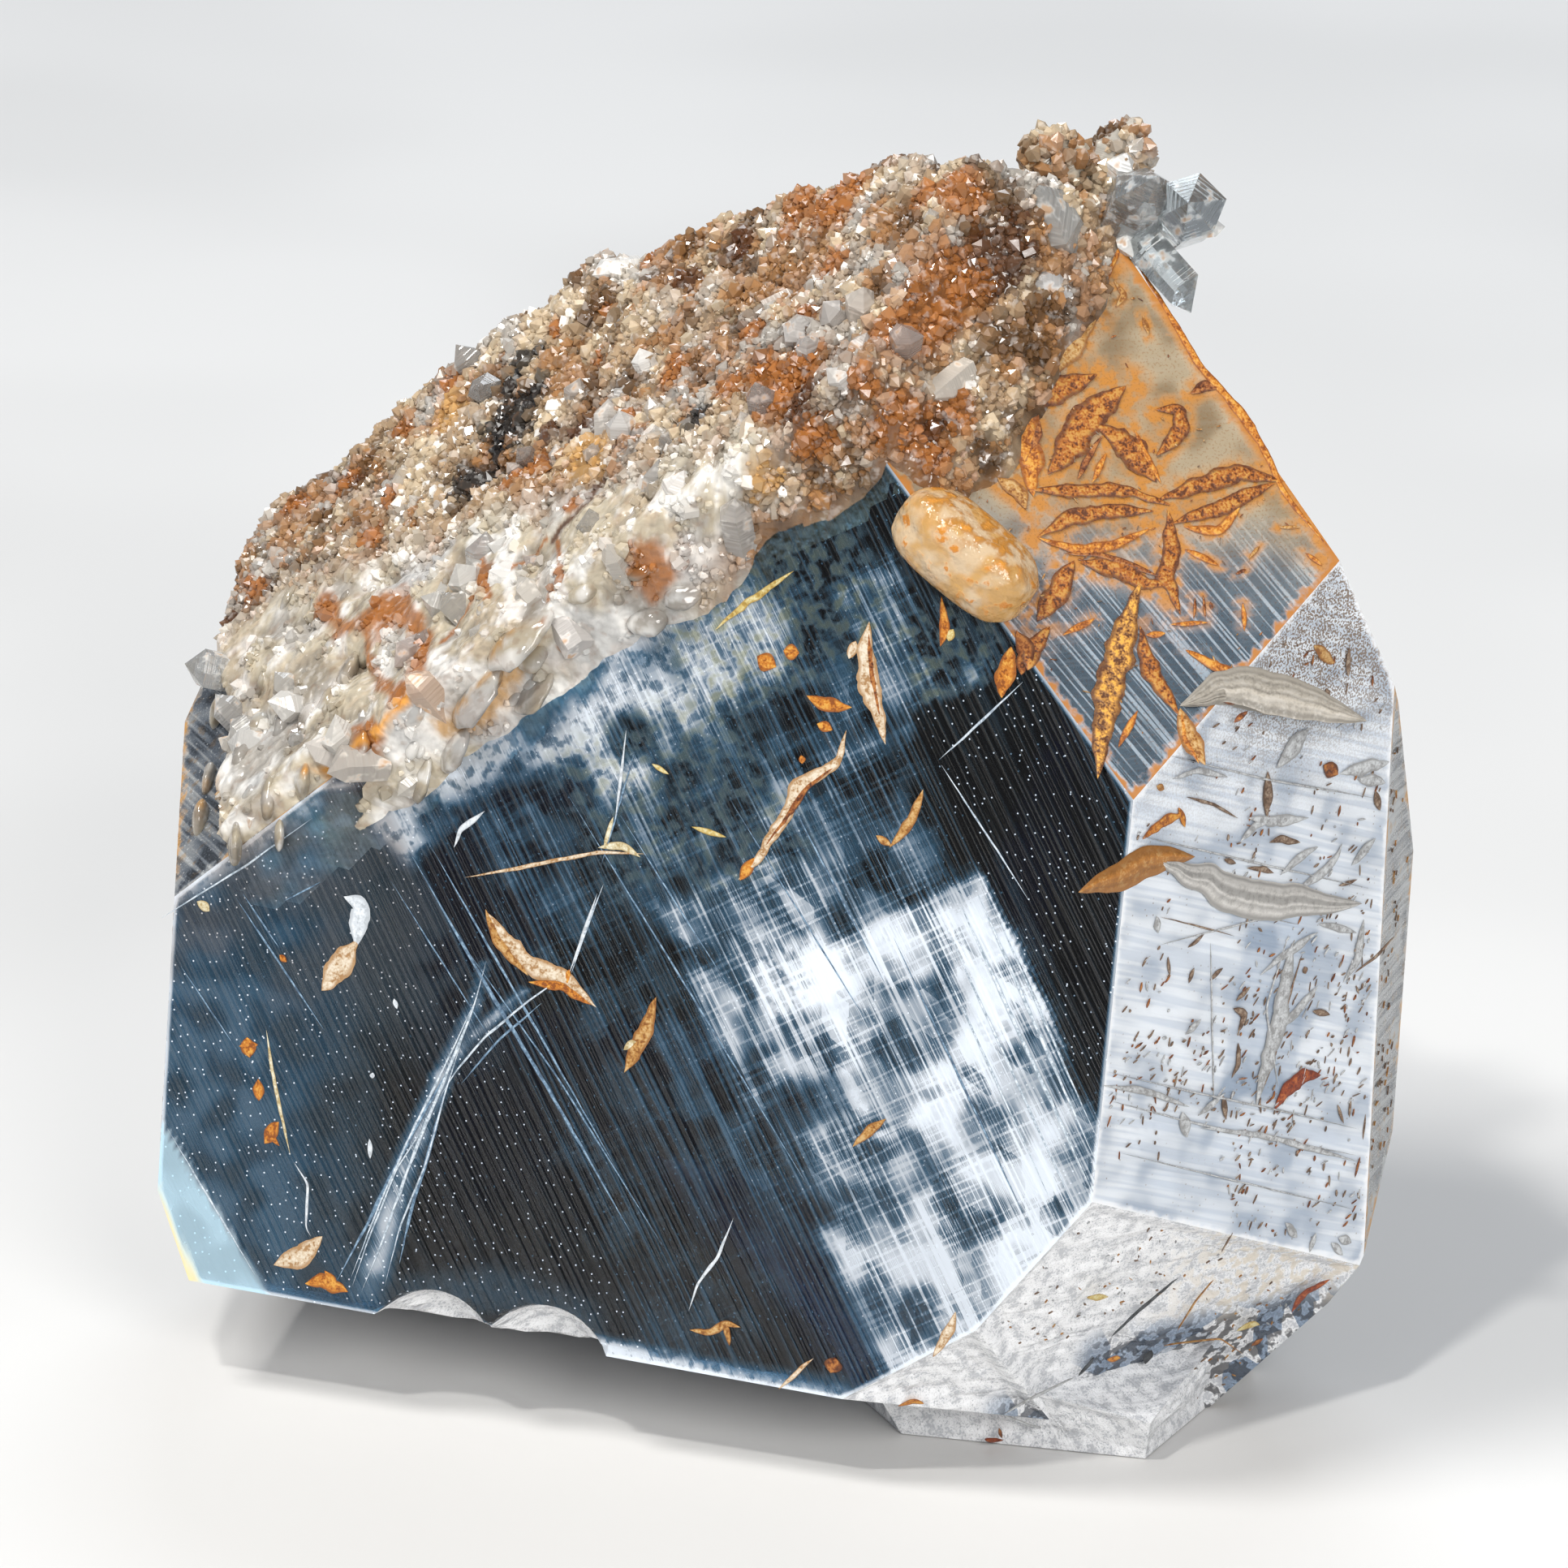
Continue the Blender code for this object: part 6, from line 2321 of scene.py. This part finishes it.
@dataclass
class TipCluster:
    """Named small crystals at the tip and at the left end."""

    # place, way, radius, length, roll in degrees, tint, cloud
    crystals: dict[str, tuple[Point, Point, float, float, float, Colour, float]] = field(
        default_factory=lambda: {
            "clear": ((19.2, 1.2, 32.4), (0.10, -0.75, 0.35), 1.75, 3.2, 12.0, (0.80, 0.86, 0.88), 0.05),
            "low": ((18.0, 0.0, 30.2), (0.62, -0.45, -0.60), 1.05, 3.4, 30.0, (0.78, 0.84, 0.86), 0.10),
            "facets": ((16.7, 1.2, 32.4), (0.30, -0.55, 0.80), 1.60, 3.6, 5.0, (0.84, 0.88, 0.90), 0.12),
            "block": ((13.2, 0.4, 31.4), (-0.35, -0.60, 0.75), 1.90, 3.4, 20.0, (0.60, 0.60, 0.58), 0.40),
            "slab": ((12.6, -0.9, 29.0), (-0.10, -0.70, 0.60), 1.50, 2.6, 40.0, (0.76, 0.75, 0.74), 0.55),
            "lump": ((13.9, 3.2, 33.0), (-0.55, -0.20, 0.85), 1.90, 4.0, 15.0, (0.70, 0.62, 0.50), 0.60),
            "lump_right": ((15.9, 3.4, 33.4), (0.25, 0.15, 0.95), 1.55, 3.4, 35.0, (0.78, 0.74, 0.66), 0.50),
            "left": ((-27.6, 11.0, 5.6), (-0.95, -0.10, 0.25), 0.95, 3.0, 10.0, (0.84, 0.84, 0.82), 0.20),
        }
    )
    sugared: tuple[str, ...] = ("lump", "lump_right")
    grains: int = 760
    extras: int = 18

    def small_ones(self, rng: np.random.Generator) -> Surface:
        """Smaller crystals that grow out of the sides of the named ones, at random.

        Args:
            rng: draws which crystal, the place round it, the lean and the size.

        Returns:
            The crystals.
        """
        rows = list(self.crystals.values())
        pick = rng.integers(0, len(rows) - 1, self.extras)
        axes = unit_rows(np.array([rows[i][1] for i in pick]))
        radii = np.array([rows[i][2] for i in pick])
        out = unit_rows(rng.normal(size=(self.extras, 3)))
        bases = np.array([rows[i][0] for i in pick]) + out * radii[:, None] * 0.72
        ways = unit_rows(out + 0.6 * axes + 0.3 * rng.normal(size=(self.extras, 3)))
        size = rng.uniform(0.35, 0.70, self.extras)
        length = size * rng.uniform(0.9, 1.5, self.extras)
        batch = CrystalBatch(bases, ways, size, length, rng.random(self.extras))
        grey = 0.62 + 0.26 * rng.random((self.extras, 1))
        return batch.surface(rng, grey * np.array((1.0, 1.0, 0.98)), 0.25 + rng.random(self.extras) * 0.5)

    def build(
        self, material: bpy.types.Material, grain_material: bpy.types.Material, colour: DruseColour
    ) -> list[bpy.types.Object]:
        """Makes the crystals, and the sugary grains that cover the stained ones.

        Grains stand on balls of the crystal's radius that are drawn out along it.

        Args:
            material: the clear small crystals' finish.
            grain_material: the grains' finish.
            colour: the druse's colours.

        Returns:
            The objects.
        """
        rng = np.random.default_rng(7)
        rows = list(self.crystals.values())
        ways = unit_rows(np.array([row[1] for row in rows]))
        batch = CrystalBatch(
            np.array([row[0] for row in rows]),
            ways,
            np.array([row[2] for row in rows]),
            np.array([row[3] / 2 for row in rows]),
            np.radians([row[4] for row in rows]),
        )
        surface = batch.surface(rng, np.array([row[5] for row in rows]), np.array([row[6] for row in rows]))
        made = [Piece("tip_crystals", Slot.CLEAR, material).make(surface)]
        made.append(Piece("tip_small_crystals", Slot.CLEAR, material).make(self.small_ones(rng)))
        pieces = []
        for name in self.sugared:
            place, way, radius, length = self.crystals[name][:4]
            out = unit_rows(rng.normal(size=(self.grains // len(self.sugared), 3)))
            axis = unit_rows(np.array(way)[None])[0]
            drawn = out + np.outer(out @ axis, axis) * (length / 2 / radius * 0.6)
            there = np.array(place) + axis * length * 0.12 + drawn * radius * 0.93
            lean = unit_rows(out + 0.5 * rng.normal(size=out.shape))
            size = np.clip(0.21 * np.exp(rng.normal(0.0, 0.35, len(out))), 0.1, 0.45)
            half = size * rng.uniform(0.5, 1.1, len(out))
            grains = CrystalBatch(there, lean, size, half, rng.random(len(out)))
            pieces.append(grains.surface(rng, colour.at(there, rng.random(len(out))), np.zeros(len(out))))
        made.append(Piece("tip_grains", Slot.DRUSE, grain_material).make(Surface.joined(pieces)))
        return made


@dataclass
class HoneyCrystal:
    """The rounded yellow crystal on the edge between the front and the stained face."""

    start: Point = (5.5, -9.1, 21.4)
    end: Point = (11.6, -12.2, 17.0)
    radius: float = 2.15
    bulge: float = 0.72
    rows: int = 90
    columns: int = 150

    def build(self, material: bpy.types.Material) -> bpy.types.Object:
        """Makes the crystal from a ball in latitude and longitude.

        Each coordinate of the ball is raised to the bulge. It is then drawn out between the two end
        points, and a noise of 1.6 mm dents its skin by up to a third of a millimetre. The first and
        last rows are single points.

        Args:
            material: the honey quartz.

        Returns:
            The object.
        """
        latitude = np.linspace(0.0, np.pi, self.rows)
        turn = 2 * np.pi * np.arange(self.columns) / self.columns
        ball = np.stack(
            [
                np.outer(np.sin(latitude), np.cos(turn)),
                np.outer(np.sin(latitude), np.sin(turn)),
                np.outer(np.cos(latitude), np.ones(self.columns)),
            ],
            axis=-1,
        ).reshape(-1, 3)
        ball[np.abs(ball) < 1e-9] = 0.0
        boxed = np.sign(ball) * np.abs(ball) ** self.bulge
        start, end = np.array(self.start), np.array(self.end)
        half = (end - start) / 2
        dents = 1.0 - 0.16 * rough_noise(boxed * self.radius, 1.6, 17)
        local = boxed * np.array((self.radius, self.radius, float(np.linalg.norm(half)))) * dents[:, None]
        turned = np.array(Vector(half).to_track_quat("Z", "Y").to_matrix())
        points = local @ turned.T + (start + end) / 2
        quads = ring_cells(self.rows - 1, self.columns)
        first, last = quads[: self.columns], quads[-self.columns :]
        caps = np.concatenate([first[:, [0, 1, 2]], last[:, [0, 1, 3]]])
        middle_rows = quads[self.columns : -self.columns]
        low_side = smooth(0.1, 1.0, np.abs(ball[:, 1]))
        surface = Surface(points, middle_rows, caps, {"edge": low_side})
        return Piece("honey_crystal", Slot.CLEAR, material, 60.0, True).make(surface)


@dataclass
class Studio:
    """Pale floor, soft lamps, a grey surround, and a camera at the photograph's viewing angle."""

    elevation: float = 20.0
    distance: float = 420.0
    aim: Point = (0.0, -6.0, 6.0)
    lens: float = 200.66
    floor_size: float = 4.0
    floor_colours: tuple[Colour, Colour] = ((0.66, 0.655, 0.645), (0.70, 0.695, 0.685))
    surround: Colour = (0.24, 0.25, 0.27)
    exposure: float = 0.0
    # Lamp: heading, elevation, distance in m, size in m, power in W, colour
    lamps: dict[str, tuple[float, float, float, float, float, Colour]] = field(
        default_factory=lambda: {
            "key": (20.0, 27.0, 0.60, 0.26, 2.0, (1.0, 0.98, 0.95)),
            "top": (-75.0, 62.0, 0.55, 0.16, 1.8, (1.0, 0.98, 0.95)),
            "glint": (-30.0, 60.0, 0.60, 0.04, 1.3, (1.0, 0.98, 0.94)),
            "back": (170.0, 45.0, 0.60, 0.30, 1.2, (0.85, 0.92, 1.0)),
        }
    )

    def floor(self) -> bpy.types.Object:
        """Makes the floor: a square just under the crystal's base, faintly mottled."""
        half = self.floor_size / 2
        corners = np.array(((-half, -half), (half, -half), (half, half), (-half, half)))
        points = np.concatenate([corners, np.full((4, 1), -0.00005)], axis=1)
        mesh = bpy.data.meshes.new("floor")
        mesh.from_pydata(points.tolist(), [], [(0, 1, 2, 3)])
        graph = NodeGraph("Pale floor")
        mottle = graph.noise(graph.object_mm, 0.02, 1.0, True)
        graph.set(
            Base_Color=graph.blend(graph.ramp(mottle, 0.3, 0.7), *self.floor_colours),
            Roughness=graph.ramp(mottle, 0.3, 0.7, 0.60, 0.70),
        )
        mesh.materials.append(graph.material)
        floor = bpy.data.objects.new("floor", mesh)
        bpy.context.scene.collection.objects.link(floor)
        return floor

    def light(self) -> None:
        """Sets the surround and the soft lamps, which all face the crystal's middle."""
        world = bpy.data.worlds.new("Surround")
        world.use_nodes = True
        world.node_tree.nodes["Background"].inputs["Color"].default_value = (*self.surround, 1.0)
        bpy.context.scene.world = world
        target = Vector(MIDDLE) * MM
        for name, (heading, rise, distance, size, power, colour) in self.lamps.items():
            data = bpy.data.lights.new(name, "AREA")
            data.shape = "DISK"
            data.size = size
            data.energy = power
            data.color = colour
            lamp = bpy.data.objects.new(name, data)
            way = Vector(direction(heading, rise))
            lamp.location = target + way * distance
            lamp.rotation_euler = way.to_track_quat("Z", "Y").to_euler()
            bpy.context.scene.collection.objects.link(lamp)

    def transform(self) -> None:
        """Sets the plain colour transform, which keeps the iron's colours strong."""
        settings = bpy.context.scene.view_settings
        settings.view_transform = "Standard"
        settings.look = "None"
        settings.exposure = self.exposure

    def camera(self) -> None:
        """Sets the camera, which looks along +Y and down by the elevation."""
        rise = math.radians(self.elevation)
        data = bpy.data.cameras.new("camera")
        data.lens = self.lens
        data.sensor_width = 36.0
        data.clip_start = 0.01
        camera = bpy.data.objects.new("camera", data)
        back = Vector((0.0, -math.cos(rise), math.sin(rise))) * self.distance
        camera.location = (Vector(MIDDLE + np.array(self.aim)) + back) * MM
        camera.rotation_euler = (math.pi / 2 - rise, 0.0, 0.0)
        bpy.context.scene.collection.objects.link(camera)
        bpy.context.scene.camera = camera


def main() -> None:
    """Builds the crystal's pieces in order, then the studio."""
    logging.basicConfig(level=logging.INFO, format="%(name)s: %(message)s")
    clear = ClearQuartz().build()
    crust_finish = SugaryDruse("Druse crust", 0.0, (0.06, 0.34), 2.6, 0.16).build()
    grain_finish = SugaryDruse("Druse grains", 0.0, (0.04, 0.22), 3.0, 0.0).build()
    small = SmallClearCrystal().build()
    stain = IronStain().build()

    crystal = FacetedCrystal("main_crystal", CRYSTAL_FACES, chips=CHIPS)
    crystal.build(clear)
    FacetedCrystal("stepped_foot", FOOT_FACES, FOOT_MIDDLE).build(clear)
    FacetedCrystal("back_growth_plate", PLATE_FACES, PLATE_MIDDLE).build(clear)

    marks = FaceMarks(crystal, stain)
    marks.build("front_marks", {"front": FRONT_MARKS + FRONT_LINES}, ())
    marks.build("stained_face_marks", {"stained": STAINED_MARKS}, NEEDLES[1:2])
    marks.build("pale_face_marks", {"pale": PALE_MARKS + PALE_LINES}, NEEDLES[:1])
    marks.build("bevel_marks", {"bevel": BEVEL_MARKS, "bevel_low": BEVEL_LOW_MARKS}, NEEDLES[2:])

    druse = Druse()
    _, ground = druse.crust(crust_finish)
    for index in (1, 2, 3):
        druse.grains(ground, index, grain_finish)
    druse.domes(SugaryDruse("Glassy druse", 0.30, (0.03, 0.14), 1.2, 0.14).build())
    points = druse.standing_points()
    rng = np.random.default_rng(9)
    scatter = rng.random(len(points.bases))
    tints = 0.45 * druse.colour.at(points.bases, scatter) + 0.55 * np.array((0.80, 0.79, 0.77))
    surface = points.surface(rng, tints, 0.30 + 0.45 * scatter)
    Piece("druse_points", Slot.DRUSE, small).make(surface)
    TipCluster().build(small, grain_finish, druse.colour)
    HoneyCrystal().build(HoneyQuartz().build())

    studio = Studio()
    studio.floor()
    studio.light()
    studio.transform()
    studio.camera()


if __name__ == "__main__":
    main()
